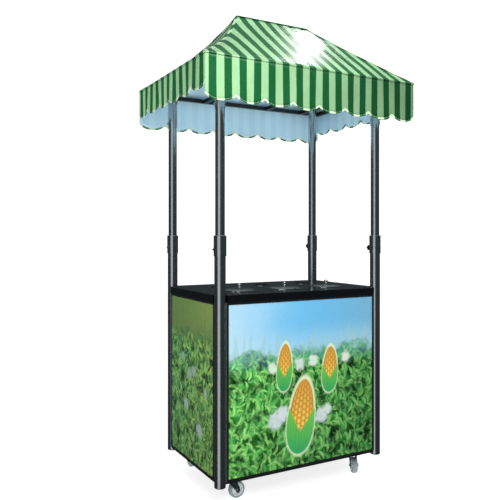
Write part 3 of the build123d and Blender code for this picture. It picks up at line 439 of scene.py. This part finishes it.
def roof_sheets(sizes):
    """The four slopes of the roof, each with a short turned-down hem at the eave."""
    sheets = []
    for axis, sign in SIDES:
        grid, count, across = [], ROOF_COLUMNS[axis], OTHER[axis]
        pitch = sizes.front_pitch if axis == "x" else sizes.side_pitch
        out = Vector((*side_point(axis, 0, sign), 0))
        for i in range(count + 1):
            share = -1 + 2 * i / count
            start = side_point(axis, share * EAVE[axis], sign * EAVE[across])
            end = side_point(axis, share * RIDGE[axis], sign * RIDGE[across])
            column = [(Vector((*start, EAVE_Z - drop)) + out * HEM_OUT, drop) for drop in HEM_DROPS]
            for j in range(ROOF_ROWS + 1):
                p = slope(start, end, j / ROOF_ROWS, sizes.wrinkle)
                column.append((p, -(p - Vector((*start, EAVE_Z))).length))
            grid.append([(p, (p["xy".index(axis)] + EAVE[axis]) / pitch, v) for p, v in column])
        sheets.append(grid)
    return sheets


def valance_spot(sizes, axis, sign, s, k):
    """A point on a valance: s along it in metres from its start, k from its top to its scalloped edge."""
    whole = 2 * EAVE[axis]
    drop = sizes.front_drop if axis == "x" else sizes.side_drop
    count = sizes.front_scallops if axis == "x" else sizes.side_scallops
    phase = s / whole * count
    tip = abs(2 * (phase - math.floor(phase)) - 1)
    depth = k * (drop - sizes.scallop * tip ** 2.4)
    fold = math.sin(2 * math.pi * phase * 0.5 + sign) + 0.5 * math.sin(2 * math.pi * phase * 1.3 + 2 * sign)
    ends = min(1.0, 12 * s / whole, 12 * (whole - s) / whole)
    lean = FOLD * depth / drop * fold * ends
    lean += ends * wrinkle(s, sign * 3.0 + (axis == "x"), depth, CREASE) * depth / drop
    out = EAVE[OTHER[axis]] - VALANCE_IN + lean
    return Vector((*side_point(axis, s - whole / 2, sign * out), EAVE_Z - VALANCE_TOP - depth))


def valance_steps(axis, count):
    """Even steps along a valance, clear of its corners."""
    return [CORNER_GAP + (2 * EAVE[axis] - 2 * CORNER_GAP) * i / count for i in range(count + 1)]


def valance_sheets(sizes):
    """The four valances, side by side with their corners open."""
    sheets = []
    downs = [j / VALANCE_ROWS for j in range(VALANCE_ROWS + 1)]
    for axis, sign in SIDES:
        pitch = sizes.front_pitch if axis == "x" else sizes.side_pitch
        steps = valance_steps(axis, VALANCE_COLUMNS[axis])
        sheets.append([[(valance_spot(sizes, axis, sign, s, k), s / pitch, k * sizes.front_drop)
                        for k in downs] for s in steps])
    return sheets


def cloth_material(sizes):
    """Coated polyester: glossy welded stripes over a scrim that prints through as a faint grid."""
    made, tree, shader = material("canopy_coated_polyester")
    spot = add(tree, "ShaderNodeUVMap", {"uv_map": "stripes"})
    along, down, _ = add(tree, SPLIT, None, [spot]).outputs
    jitter = add(tree, NOISE, None, {"Vector": spot, "Scale": 14.0})
    wave = add(tree, MATH, "PINGPONG", [add(tree, MATH, "MULTIPLY_ADD", [jitter, 0.02, along]), 0.5])
    bright = add(tree, RANGE, SMOOTH, [wave, 0.235, 0.265, 1.0, 0.0])
    point = add(tree, COORDS).outputs["Object"]
    fade = add(tree, NOISE, None, {"Vector": point, "Scale": 5.0, "Detail": 4.0})
    tone = add(tree, RANGE, None, [fade, 0.3, 0.7, 0.88, 1.1])
    # painted shade: the valances and the roof's hem darken towards the right, standing in for light that falls
    # off there
    across = add(tree, SPLIT, None, [point]).outputs["X"]
    valance_shade = add(tree, RANGE, None, [across, -EAVE_X, EAVE_X, 1.0, 0.36])
    hanging = add(tree, MATH, "GREATER_THAN", [down, 0.0])
    valance_shade = add(tree, MIX, None, [hanging, 1.0, valance_shade])
    tone = add(tree, MATH, "MULTIPLY", [tone, valance_shade])
    base = add(tree, MIX, BLEND, [bright, (*sizes.dark_stripe, 1), (*sizes.light_stripe, 1)])
    base = add(tree, MIX, TINT, [1.0, base, tone])
    # scrim: threads drawn 3 mm apart, three times coarser than the real ones, so they can be seen
    weave = add(tree, VECTOR, "SCALE", {"Vector": point, "Scale": 2 * math.pi / (3 * MM)})
    x, y, z = add(tree, SPLIT, None, [weave]).outputs
    upright = add(tree, MATH, "ADD", [y, z])
    lines = add(tree, MATH, "ADD", [add(tree, MATH, "SINE", [x]), add(tree, MATH, "SINE", [upright])])
    scrim = add(tree, BUMP, None, {"Strength": 0.05, "Distance": 0.08 * MM, "Height": lines})
    crease = add(tree, BUMP, None, {"Strength": 0.1, "Distance": MM, "Height": fade, "Normal": scrim})
    gloss = add(tree, RANGE, None, [fade, 0.3, 0.7, 0.24, 0.31])
    connect(tree, shader, base, gloss, crease)
    shader.inputs["Specular IOR Level"].default_value = 0.35
    return made


def cloth_back(sizes):
    """The uncoated side: white, painted the pale blue it takes in the shade under the roof, with painted light
    where the stripes show faintly through.
    """
    made, tree, shader = material("canopy_polyester_back")
    spot = add(tree, "ShaderNodeUVMap", {"uv_map": "stripes"})
    along = add(tree, SPLIT, None, [spot]).outputs["X"]
    wave = add(tree, MATH, "PINGPONG", [along, 0.5])
    ghost = add(tree, RANGE, SMOOTH, [wave, 0.2, 0.3])
    point = add(tree, COORDS).outputs["Object"]
    fade = add(tree, NOISE, None, {"Vector": point, "Scale": 6.0, "Detail": 3.0})
    base = add(tree, MIX, BLEND, [ghost, (*sizes.back, 1), (*sizes.back_ghost, 1)])
    base = add(tree, MIX, TINT, [1.0, base, add(tree, RANGE, None, [fade, 0.3, 0.7, 0.93, 1.05])])
    thread = add(tree, NOISE, None, {"Vector": point, "Scale": 1 / (2 * MM), "Detail": 1.0})
    lumps = add(tree, BUMP, None, {"Strength": 0.2, "Distance": 0.1 * MM, "Height": thread})
    rough = add(tree, RANGE, None, [fade, 0.3, 0.7, 0.6, 0.75])
    connect(tree, shader, base, rough, lumps)
    return made


def striped_tape(sizes):
    """Edge binding cut from the same cloth, so its stripes carry on those of the valance."""
    made, tree, shader = material("canopy_edge_binding")
    place = add(tree, COORDS).outputs["Object"]
    x, y, _ = add(tree, SPLIT, None, [place]).outputs
    front = add(tree, MATH, "GREATER_THAN", [add(tree, MATH, "ABSOLUTE", [y]), EAVE_Y - 0.009])
    wide = add(tree, MATH, "DIVIDE", [add(tree, MATH, "ADD", [x, EAVE_X]), sizes.front_pitch])
    deep = add(tree, MATH, "DIVIDE", [add(tree, MATH, "ADD", [y, EAVE_Y]), sizes.side_pitch])
    wave = add(tree, MATH, "PINGPONG", [add(tree, MIX, None, [front, deep, wide]), 0.5])
    bright = add(tree, RANGE, SMOOTH, [wave, 0.23, 0.27, 1.0, 0.0])
    base = add(tree, MIX, BLEND, [bright, (*sizes.dark_stripe, 1), (*sizes.tape, 1)])
    thread = add(tree, NOISE, None, {"Vector": place, "Scale": 1 / (1.5 * MM)})
    tone = add(tree, RANGE, None, [thread, 0.3, 0.7, 0.9, 1.05])
    base = add(tree, MIX, TINT, [1.0, base, tone])
    lumps = add(tree, BUMP, None, {"Strength": 0.3, "Distance": 0.1 * MM, "Height": thread})
    rough = add(tree, RANGE, None, [thread, 0.3, 0.7, 0.4, 0.55])
    connect(tree, shader, base, rough, lumps)
    return made


# ---- what follows a path: tapes and stitches
EDGE_STEPS, HIP_STEPS = 256, 60  # points along a scalloped edge and along a hip
BINDING_LAYERS, BINDING_STEP = 2.2, 0.006  # the binding's thickness in cloths, and its facets
SEAM_WIDE, SEAM_THICK, SEAM_STEP, SEAM_LIFT = 0.012, 0.0014, 0.02, 0.0006
STITCH_LONG, STITCH_RADIUS = 0.008, 0.0006
STITCH_OUT, STITCH_UP = (0.0014, -0.0024), 0.002  # rows in front of the cloth and behind it


def path_tree(name, *inputs):
    """A geometry tree with named inputs: gives the tree, its inputs, and the lines it is given as curves."""
    tree = bpy.data.node_groups.new(name, "GeometryNodeTree")
    for title, kind in (("Geometry", "Geometry"), *inputs, ("Material", "Material")):
        tree.interface.new_socket(title, in_out="INPUT", socket_type="NodeSocket" + kind)
    tree.interface.new_socket("Geometry", in_out="OUTPUT", socket_type="NodeSocketGeometry")
    given = add(tree, "NodeGroupInput").outputs
    return tree, given, add(tree, "GeometryNodeMeshToCurve", None, {"Mesh": given["Geometry"]})


def end_tree(tree, given, shape):
    """Ends a geometry tree: instances made real, then their material."""
    whole = add(tree, "GeometryNodeRealizeInstances", None, {"Geometry": shape})
    done = add(tree, "GeometryNodeSetMaterial", None, {"Geometry": whole, "Material": given["Material"]})
    add(tree, "NodeGroupOutput", None, {"Geometry": done})
    return tree


def tape_tree():
    """Geometry nodes that sweep a flat tape along every path."""
    sizes = [(title, "Float") for title in ("Width", "Thickness", "Step")]
    tree, given, path = path_tree("tape along a path", *sizes)
    path = add(tree, "GeometryNodeResampleCurve", STEPPED, {"Curve": path, "Length": given["Step"]})
    path = add(tree, "GeometryNodeSetCurveNormal", {"mode": "Z_UP"}, {"Curve": path})
    outline = add(tree, "GeometryNodeCurvePrimitiveQuadrilateral", {"mode": "RECTANGLE"},
                  {"Width": given["Thickness"], "Height": given["Width"]})
    tape = add(tree, "GeometryNodeCurveToMesh", None,
               {"Curve": path, "Profile Curve": outline, "Fill Caps": True})
    return end_tree(tree, given, tape)


def row_tree():
    """Geometry nodes that set a shape at even steps along every path, turned to follow it."""
    tree, given, path = path_tree("row along a path", ("Step", "Float"), ("Shape", "Object"))
    path = add(tree, "GeometryNodeSetCurveNormal", {"mode": "Z_UP"}, {"Curve": path})
    dots = add(tree, "GeometryNodeCurveToPoints", STEPPED, {"Curve": path, "Length": given["Step"]})
    shape = add(tree, "GeometryNodeObjectInfo", None, {"Object": given["Shape"]})
    row = add(tree, "GeometryNodeInstanceOnPoints", None,
              {"Points": dots.outputs["Points"], "Instance": shape.outputs["Geometry"],
               "Rotation": dots.outputs["Rotation"]})
    return end_tree(tree, given, row)


def grow(name, tree, paths, values):
    """A plain mesh piece that a tree makes from lines of points."""
    verts, edges = [], []
    for path in paths:
        first = len(verts)
        verts += path
        edges += [(first + i, first + i + 1) for i in range(len(path) - 1)]
    obj = new_object(name, verts, [], edges)
    mod = obj.modifiers.new("grow", "NODES")
    mod.node_group = tree
    for item in tree.interface.items_tree:
        if item.in_out == "INPUT" and item.name in values:
            mod[item.identifier] = values[item.name]
    apply_all(obj)
    if not obj.data.polygons:
        raise RuntimeError(f"{name} came out empty")
    obj.data.shade_flat()
    return obj


def capsule(name, tall, radius):
    """A thread's visible stretch, along Z, with few faces."""
    obj = new_object(name, [], [])
    shape = bmesh.new()
    bmesh.ops.create_uvsphere(shape, u_segments=6, v_segments=4, radius=1.0)
    bmesh.ops.scale(shape, vec=(radius, radius, tall / 2), verts=shape.verts)
    shape.to_mesh(obj.data)
    shape.free()
    return obj


def scallop_paths(sizes, out, up):
    """The scalloped lower edges, moved outwards and upwards a little."""
    return [[valance_spot(sizes, axis, sign, s, 1.0) + Vector((*side_point(axis, 0, sign * out), up))
             for s in valance_steps(axis, EDGE_STEPS)] for axis, sign in SIDES]


def seam_paths(sizes, lift):
    """The four hips and the ridge, a little above the cloth."""
    paths = []
    for sx, sy in ((-1, -1), (-1, 1), (1, -1), (1, 1)):
        start, end = (sx * EAVE_X, sy * EAVE_Y), (sx * RIDGE_X, 0)
        line = [slope(start, end, j / HIP_STEPS, sizes.wrinkle) for j in range(HIP_STEPS + 1)]
        paths.append([p + Vector((0, 0, lift)) for p in line])
    paths.append([Vector((RIDGE_X * (-1 + i / 10), 0, RIDGE_Z + lift)) for i in range(21)])
    return paths


# ---- settings
def colour(name, text, code):
    """A colour setting, from an sRGB hex colour."""
    return bpy.props.FloatVectorProperty(name=name, description=text, subtype="COLOR", size=3, min=0, max=1,
                                         default=linear(code)[:3])


def metres(name, text, value):
    """A length setting."""
    return bpy.props.FloatProperty(name=name, description=text, default=value, unit="LENGTH", precision=4)


def number(name, text, value, unit="NONE"):
    """Any other setting, such as a power in watts or a lens in millimetres."""
    return bpy.props.FloatProperty(name=name, description=text, default=value, unit=unit)


def count_of(name, text, value):
    """A setting that counts."""
    return bpy.props.IntProperty(name=name, description=text, default=value, min=1)


class CartCanopySettings(bpy.types.PropertyGroup):
    """Sizes and colours of the canopy cloth."""
    front_pitch: metres("Front stripe pitch", "One dark and one light stripe, across the front", EAVE_X / 8)
    side_pitch: metres("Side stripe pitch", "One dark and one light stripe, along a side", 2 * EAVE_Y / 11)
    front_drop: metres("Front valance", "Depth of the front and rear valances", FRONT_DROP)
    side_drop: metres("Side valance", "Depth of the side valances", 0.138)
    scallop: metres("Scallop depth", "Rise of the edge between two scallops", 0.024)
    front_scallops: count_of("Front scallops", "Scallops across the front", 8)
    side_scallops: count_of("Side scallops", "Scallops along a side", 6)
    wrinkle: metres("Crease height", "Height of the soft creases in the roof", 0.0035)
    thick: metres("Cloth thickness", "Thickness of the coated cloth", 0.0011)
    binding: metres("Binding width", "Width of the tape sewn round the scallops", 0.0085)
    stitch: metres("Stitch step", "Distance between stitches, drawn coarse enough to show", 0.012)
    dark_stripe: colour("Dark stripe", "Dark green of the coated cloth", "#1c6b38")
    light_stripe: colour("Light stripe", "Mint of the coated cloth", "#aee3aa")
    # painted shade: the white back is given the pale blue it takes in the shade under the roof, and painted
    # light makes the stripes show faintly through
    back: colour("Back", "Pale uncoated side", "#cdf0ff")
    back_ghost: colour("Back of a dark stripe", "Where a dark stripe shows through", "#c4e9fa")
    tape: colour("Binding", "Light stripe of the tape round the edges", "#dcf5d2")


class CartStageSettings(bpy.types.PropertyGroup):
    """Light, floor and camera."""
    floor_colour: colour("Floor", "Pale floor", "#f4f5f3")
    floor_glow: number("Floor glow", "Light that the floor gives off", 0.8)
    room_light: number("Room light", "Even light from all round", 0.35)
    key_power: number("Key light", "Power of the tall softbox at the left", 28.0, "POWER")
    top_power: number("Top light", "Power of the overhead softbox", 58.0, "POWER")
    fill_power: number("Fill light", "Power of the near light at the left front", 14.0, "POWER")
    glare_power: number("Canopy light", "Power of the high light behind the cart", 5.0, "POWER")
    lens: number("Lens", "Focal length", 44.2, "CAMERA")


# ---- one operator for each group of pieces
class CART_OT_frame_finish(bpy.types.Operator):
    """Finish the tubes, rails, collars, sheets and screws"""
    bl_idname = "cart.frame_finish"
    bl_label = "Frame"

    def execute(self, context):
        # polished stainless tube: dark and bright bands with a faint draw along its length
        tube = surface("polished_stainless_tube", "#c4c8ca", 0.2, metal=1.0, grain=3.0, stretch=(1, 1, 0.02),
                       vary=0.05, rough_vary=0.02, bump=0.02, depth=0.01)
        finish_nodes(tube, "lower_posts", "upper_poles", "post_collars", "pole_sockets")
        # powder coat: satin black with a fine orange peel
        coat = surface("black_powder_coat", "#101213", 0.42, grain=1.6, vary=0.2, bump=0.25)
        finish_nodes(coat, "base_rails", "top_rails", "shelf_rails", "rear_jambs", "eave_frame",
                     "ridge_frame", "caster_rear_left_brake", "caster_rear_right_brake")
        # galvanised sheet: zinc crystals about 12 mm across, each with its own grey
        made, tree, shader = material("galvanised_sheet")
        place = add(tree, COORDS).outputs["Object"]
        flake = add(tree, CELLS, None, {"Vector": place, "Scale": 1 / (12 * MM)})
        grey = add(tree, SPLIT, None, [flake.outputs["Color"]])
        tone = add(tree, MIX, BLEND, [grey.outputs["X"], linear("#8f9597"), linear("#a9afb0")])
        rough = add(tree, RANGE, None, [grey.outputs["Y"], 0.0, 1.0, 0.32, 0.5])
        lumps = add(tree, BUMP, None,
                    {"Strength": 0.1, "Distance": 0.05 * MM, "Height": flake.outputs["Distance"]})
        connect(tree, shader, tone, rough, lumps)
        shader.inputs["Metallic"].default_value = 1.0
        finish_nodes(made, "floor_pan", "storage_shelf")
        # zinc plate: bright bluish metal, a little cloudy
        zinc = surface("bright_zinc_plate", "#bcc3c8", 0.26, metal=1.0, grain=6.0)
        finish_nodes(zinc, "panel_screws", "socket_screws", "caster_bolts", "caster_plates",
                     *[f"caster_{c}_{p}" for c in CORNERS for p in ("fork", "axle")])
        # moulded nylon: dull black with a spark-eroded grain
        nylon = surface("moulded_black_nylon", "#141516", 0.5, grain=1.2, vary=0.15, bump=0.3, depth=0.06)
        finish_nodes(nylon, "post_end_caps", *[f"lock_screw_{c}" for c in CORNERS])
        # extruded trim: satin black, a little uneven
        trim = surface("extruded_black_trim", "#17191a", 0.3, vary=0.15, bump=0.1)
        finish_nodes(trim, "panel_edge_trims")
        return {"FINISHED"}


class CART_OT_counter(bpy.types.Operator):
    """Finish the counter, the cup rings, the pots and their lids"""
    bl_idname = "cart.counter"
    bl_label = "Counter"

    def execute(self, context):
        # high-gloss laminate: deep black, mirror-like, with faint 2 mm flecks and long waves
        made, tree, shader = material("high_gloss_black_laminate")
        place = add(tree, COORDS).outputs["Object"]
        fleck = add(tree, NOISE, None, {"Vector": place, "Scale": 1 / (2 * MM)})
        speck = add(tree, RANGE, None, [fleck, 0.62, 0.72, 0.0, 0.5])
        base = add(tree, MIX, BLEND, [speck, linear("#0a0c0e"), linear("#3a4247")])
        wave = add(tree, NOISE, None, {"Vector": place, "Scale": 6.0})
        rough = add(tree, RANGE, None, [wave, 0.3, 0.7, 0.05, 0.14])
        lumps = add(tree, BUMP, None, {"Strength": 0.15, "Distance": 0.5 * MM, "Height": wave})
        connect(tree, shader, base, rough, lumps)
        shader.inputs["Specular IOR Level"].default_value = 0.3
        finish_nodes(made, "counter_top")
        # spun stainless: polished, with faint bands round it left by the tool
        steel = surface("polished_pot_steel", "#c8cccd", 0.11, metal=1.0, grain=3.0, stretch=(1, 1, 8),
                        rough_vary=0.05, depth=0.02)
        finish_nodes(steel, "cup_rings", *[f"{part}_{place}" for part in ("food_pot", "pot_lid")
                                           for place in ("left", "middle", "right")])
        return {"FINISHED"}


class CART_OT_prints(bpy.types.Operator):
    """Print the front and side panels with a maize field"""
    bl_idname = "cart.prints"
    bl_label = "Printed panels"

    def execute(self, context):
        edges = FRONT_LOW.x, FRONT_HIGH.x, FRONT_HIGH.z
        front = field_print("laminated_vinyl_front", "X", edges, FRONT_SKY, FRONT_GROUND, LEAVES,
                            FRONT_TUFTS, COBS, FRONT_SKYLINE, FRONT_PAINTED_LIGHT)
        finish_nodes(front, "front_panel")
        edges = SIDE_HIGH.y, SIDE_LOW.y, SIDE_HIGH.z
        side = field_print("laminated_vinyl_side", "Y", edges, SIDE_SKY, SIDE_GROUND, SIDE_LEAVES,
                           SIDE_TUFTS, (), SIDE_SKYLINE, SIDE_PAINTED_LIGHT)
        finish_nodes(side, "left_panel", "right_panel")
        return {"FINISHED"}


class CART_OT_doors(bpy.types.Operator):
    """Finish the rear doors, their hinges and handles"""
    bl_idname = "cart.doors"
    bl_label = "Doors"

    def execute(self, context):
        # laminated board: light grey with a fine upright emboss
        board = surface("grey_laminated_board", "#c3c6c4", 0.4, grain=2.5, stretch=(1, 1, 0.5), vary=0.05,
                        rough_vary=0.06, bump=0.25, depth=0.08)
        finish_nodes(board, "rear_door_left", "rear_door_right")
        # satin stainless bar: an even soft shine, a little cloudy from handling
        bar = surface("satin_stainless_bar", "#c2c6c8", 0.24, metal=1.0, grain=3.0, vary=0.06)
        finish_nodes(bar, "hinge_fixed_leaves", "hinge_moving_left", "hinge_moving_right",
                     "door_handle_left", "door_handle_right")
        return {"FINISHED"}


class CART_OT_casters(bpy.types.Operator):
    """Finish the tyres and hubs of the casters"""
    bl_idname = "cart.casters"
    bl_label = "Casters"

    def execute(self, context):
        # thermoplastic rubber: dull grey, dusty from the floor
        tread = surface("grey_thermoplastic_rubber", "#8fa0a2", 0.62, vary=0.15, bump=0.35, depth=0.1,
                        wear="#b4bfbf")
        finish_nodes(tread, *[f"caster_{c}_tyre" for c in CORNERS])
        # moulded polypropylene: pale and waxy
        hub = surface("pale_polypropylene", "#e4ecee", 0.4, vary=0.06, bump=0.15)
        finish_nodes(hub, *[f"caster_{c}_hub" for c in CORNERS])
        return {"FINISHED"}


class CART_OT_canopy(bpy.types.Operator):
    """Build the striped roof and its scalloped valances"""
    bl_idname = "cart.canopy"
    bl_label = "Canopy cloth"

    def execute(self, context):
        sizes = context.scene.cart_canopy
        outer, inner = cloth_material(sizes), cloth_back(sizes)
        roof = apply_all(sheet_object("roof_cloth", roof_sheets(sizes), sizes.thick, outer, inner))
        valance = apply_all(sheet_object("valance_cloth", valance_sheets(sizes), sizes.thick, outer, inner))
        tape = striped_tape(sizes)
        # spun polyester thread: dull and pale, with a little fuzz
        thread = surface("pale_sewing_thread", "#e4ead6", 0.7, grain=0.8, vary=0.1, bump=0.3)
        sweep, row = tape_tree(), row_tree()
        binding = grow("scallop_binding", sweep, scallop_paths(sizes, 0.0, 0.0),
                       {"Width": sizes.binding, "Thickness": sizes.thick * BINDING_LAYERS,
                        "Step": BINDING_STEP, "Material": tape})
        # the tree's width stands upright, as on a valance, so tape that lies flat has the two swapped
        seams = grow("roof_seams", sweep, seam_paths(sizes, SEAM_LIFT),
                     {"Width": SEAM_THICK, "Thickness": SEAM_WIDE, "Step": SEAM_STEP, "Material": tape})
        stitch = capsule("stitch", STITCH_LONG, STITCH_RADIUS)
        lines = [line for out in STITCH_OUT for line in scallop_paths(sizes, out, STITCH_UP)]
        sewn = grow("valance_stitches", row, lines,
                    {"Step": sizes.stitch, "Shape": stitch, "Material": thread})
        bpy.data.objects.remove(stitch)
        for piece in (roof, valance, binding, seams, sewn):
            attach(piece, "canopy")
        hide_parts("canopy_roof")
        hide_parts("canopy_valance")
        return {"FINISHED"}


# the camera and the room: metres, degrees and millimetres of sensor
CAMERA_PLACE, CAMERA_TURN, CAMERA_SHIFT, SENSOR_WIDE = (-1.604, -2.667, 1.186), -28.9, -0.03, 36.0
FLOOR_HALF, WHITE, BEHIND = 9, (1, 1, 1, 1), (1.2, 1.2, 1.2, 1)
ROOM = ((0.0, "#1c2221"), (0.5, "#2e3637"), (0.75, "#566164"), (1.0, "#a2a9ab"))


class CART_OT_stage(bpy.types.Operator):
    """Set out the floor, the lights and the camera"""
    bl_idname = "cart.stage"
    bl_label = "Stage"

    def execute(self, context):
        look = context.scene.cart_stage
        scene = context.scene
        scene.view_settings.view_transform = "Standard"
        self.lay_floor(look)
        self.light_room(scene, look)
        # softboxes: place, aim, width, height, power, and what they light
        lamps = (
            ("key", (-2.73, -2.35, 0.5), (-0.3, -0.2, 0.5), 2.8, 5.2, look.key_power, "gloss"),
            ("fill", (-0.9, -2.0, 1.9), (-0.15, 0, 1.4), 1.0, 1.0, look.fill_power, "diffuse"),
            ("top", (0.3, -1.8, 4.4), (0, 0, 1.6), 2.0, 1.4, look.top_power, "both"),
            ("canopy", (1.65, 1.19, 4.15), (0.1, -0.22, 2.06), 0.13, 0.5, look.glare_power, "both"),
        )
        for name, at, aim, wide, tall, power, lit in lamps:
            lamp = bpy.data.lights.new(name, "AREA")
            lamp.shape, lamp.size, lamp.size_y, lamp.energy = "RECTANGLE", wide, tall, power
            lamp.color = (1, 1, 0.98 if name == "fill" else 1)
            obj = bpy.data.objects.new(name, lamp)
            obj.location = at
            obj.rotation_euler = (Vector(aim) - Vector(at)).to_track_quat("-Z", "Y").to_euler()
            obj.visible_camera = False
            obj.visible_diffuse, obj.visible_glossy = lit != "gloss", lit != "diffuse"
            scene.collection.objects.link(obj)
        camera = bpy.data.cameras.new("camera")
        camera.lens, camera.sensor_width, camera.shift_y = look.lens, SENSOR_WIDE, CAMERA_SHIFT
        eye = bpy.data.objects.new("camera", camera)
        eye.location = CAMERA_PLACE
        eye.rotation_euler = (math.radians(90), 0, math.radians(CAMERA_TURN))
        scene.collection.objects.link(eye)
        scene.camera = eye
        return {"FINISHED"}

    def lay_floor(self, look):
        """A pale floor that glows a little, so the ground stays white round a faint shadow"""
        corners = [(x * FLOOR_HALF, y * FLOOR_HALF, 0) for x, y in ((-1, -1), (1, -1), (1, 1), (-1, 1))]
        floor = new_object("floor", corners, [(0, 1, 2, 3)])
        made, tree, shader = material("pale_floor")
        grain = add(tree, NOISE, None, {"Vector": add(tree, COORDS).outputs["Object"], "Scale": 3.0})
        tint = add(tree, RANGE, None, [grain, 0.3, 0.7, 0.98, 1.0])
        base = add(tree, MIX, TINT, [1.0, (*look.floor_colour, 1), tint])
        tree.links.new(base.outputs[2], shader.inputs["Base Color"])
        for name, value in (("Roughness", 0.7), ("Specular IOR Level", 0.1), ("Emission Color", WHITE),
                            ("Emission Strength", look.floor_glow)):
            shader.inputs[name].default_value = value
        floor.data.materials.append(made)
        floor.visible_glossy = floor.visible_shadow = False

    def light_room(self, scene, look):
        """Even light for plain surfaces, a dark room with a bright ceiling for shiny ones, white behind"""
        world = bpy.data.worlds.new("studio")
        scene.world = world
        world.use_nodes = True
        tree = world.node_tree
        tree.nodes.clear()
        path = add(tree, "ShaderNodeLightPath")
        up = add(tree, SPLIT, None, [add(tree, COORDS).outputs["Generated"]])
        height = add(tree, RANGE, None, [up.outputs["Z"], -1.0, 1.0])
        room = add(tree, RAMP, {"stops": ROOM}, [height])
        even = (look.room_light, look.room_light, look.room_light, 1)
        seen = add(tree, MIX, BLEND, [path.outputs["Is Glossy Ray"], even, room])
        seen = add(tree, MIX, BLEND, [path.outputs["Is Camera Ray"], seen, BEHIND])
        back = add(tree, "ShaderNodeBackground", None, {"Color": seen})
        add(tree, "ShaderNodeOutputWorld", None, {"Surface": back})


OPERATORS = (CART_OT_frame_finish, CART_OT_counter, CART_OT_prints, CART_OT_doors, CART_OT_casters,
             CART_OT_canopy, CART_OT_stage)


class CART_PT_panel(bpy.types.Panel):
    """Lists the steps that dress the cart"""
    bl_label = "Push vending cart"
    bl_idname = "CART_PT_panel"
    bl_space_type = "VIEW_3D"
    bl_region_type = "UI"
    bl_category = "Cart"

    def draw(self, context):
        for step in OPERATORS:
            self.layout.operator(step.bl_idname)
        for group in (context.scene.cart_canopy, context.scene.cart_stage):
            for name in group.__annotations__:
                self.layout.prop(group, name)


CLASSES = (CartCanopySettings, CartStageSettings, *OPERATORS, CART_PT_panel)


def register():
    """Adds the settings, the operators and the panel."""
    for kind in CLASSES:
        bpy.utils.register_class(kind)
    bpy.types.Scene.cart_canopy = bpy.props.PointerProperty(type=CartCanopySettings)
    bpy.types.Scene.cart_stage = bpy.props.PointerProperty(type=CartStageSettings)


def unregister():
    """Takes them away again."""
    del bpy.types.Scene.cart_stage
    del bpy.types.Scene.cart_canopy
    for kind in reversed(CLASSES):
        bpy.utils.unregister_class(kind)


def main():
    """Builds everything in order."""
    register()
    for step in OPERATORS:
        group, name = step.bl_idname.split(".")
        getattr(getattr(bpy.ops, group), name)()


if __name__ == "__main__":
    main()
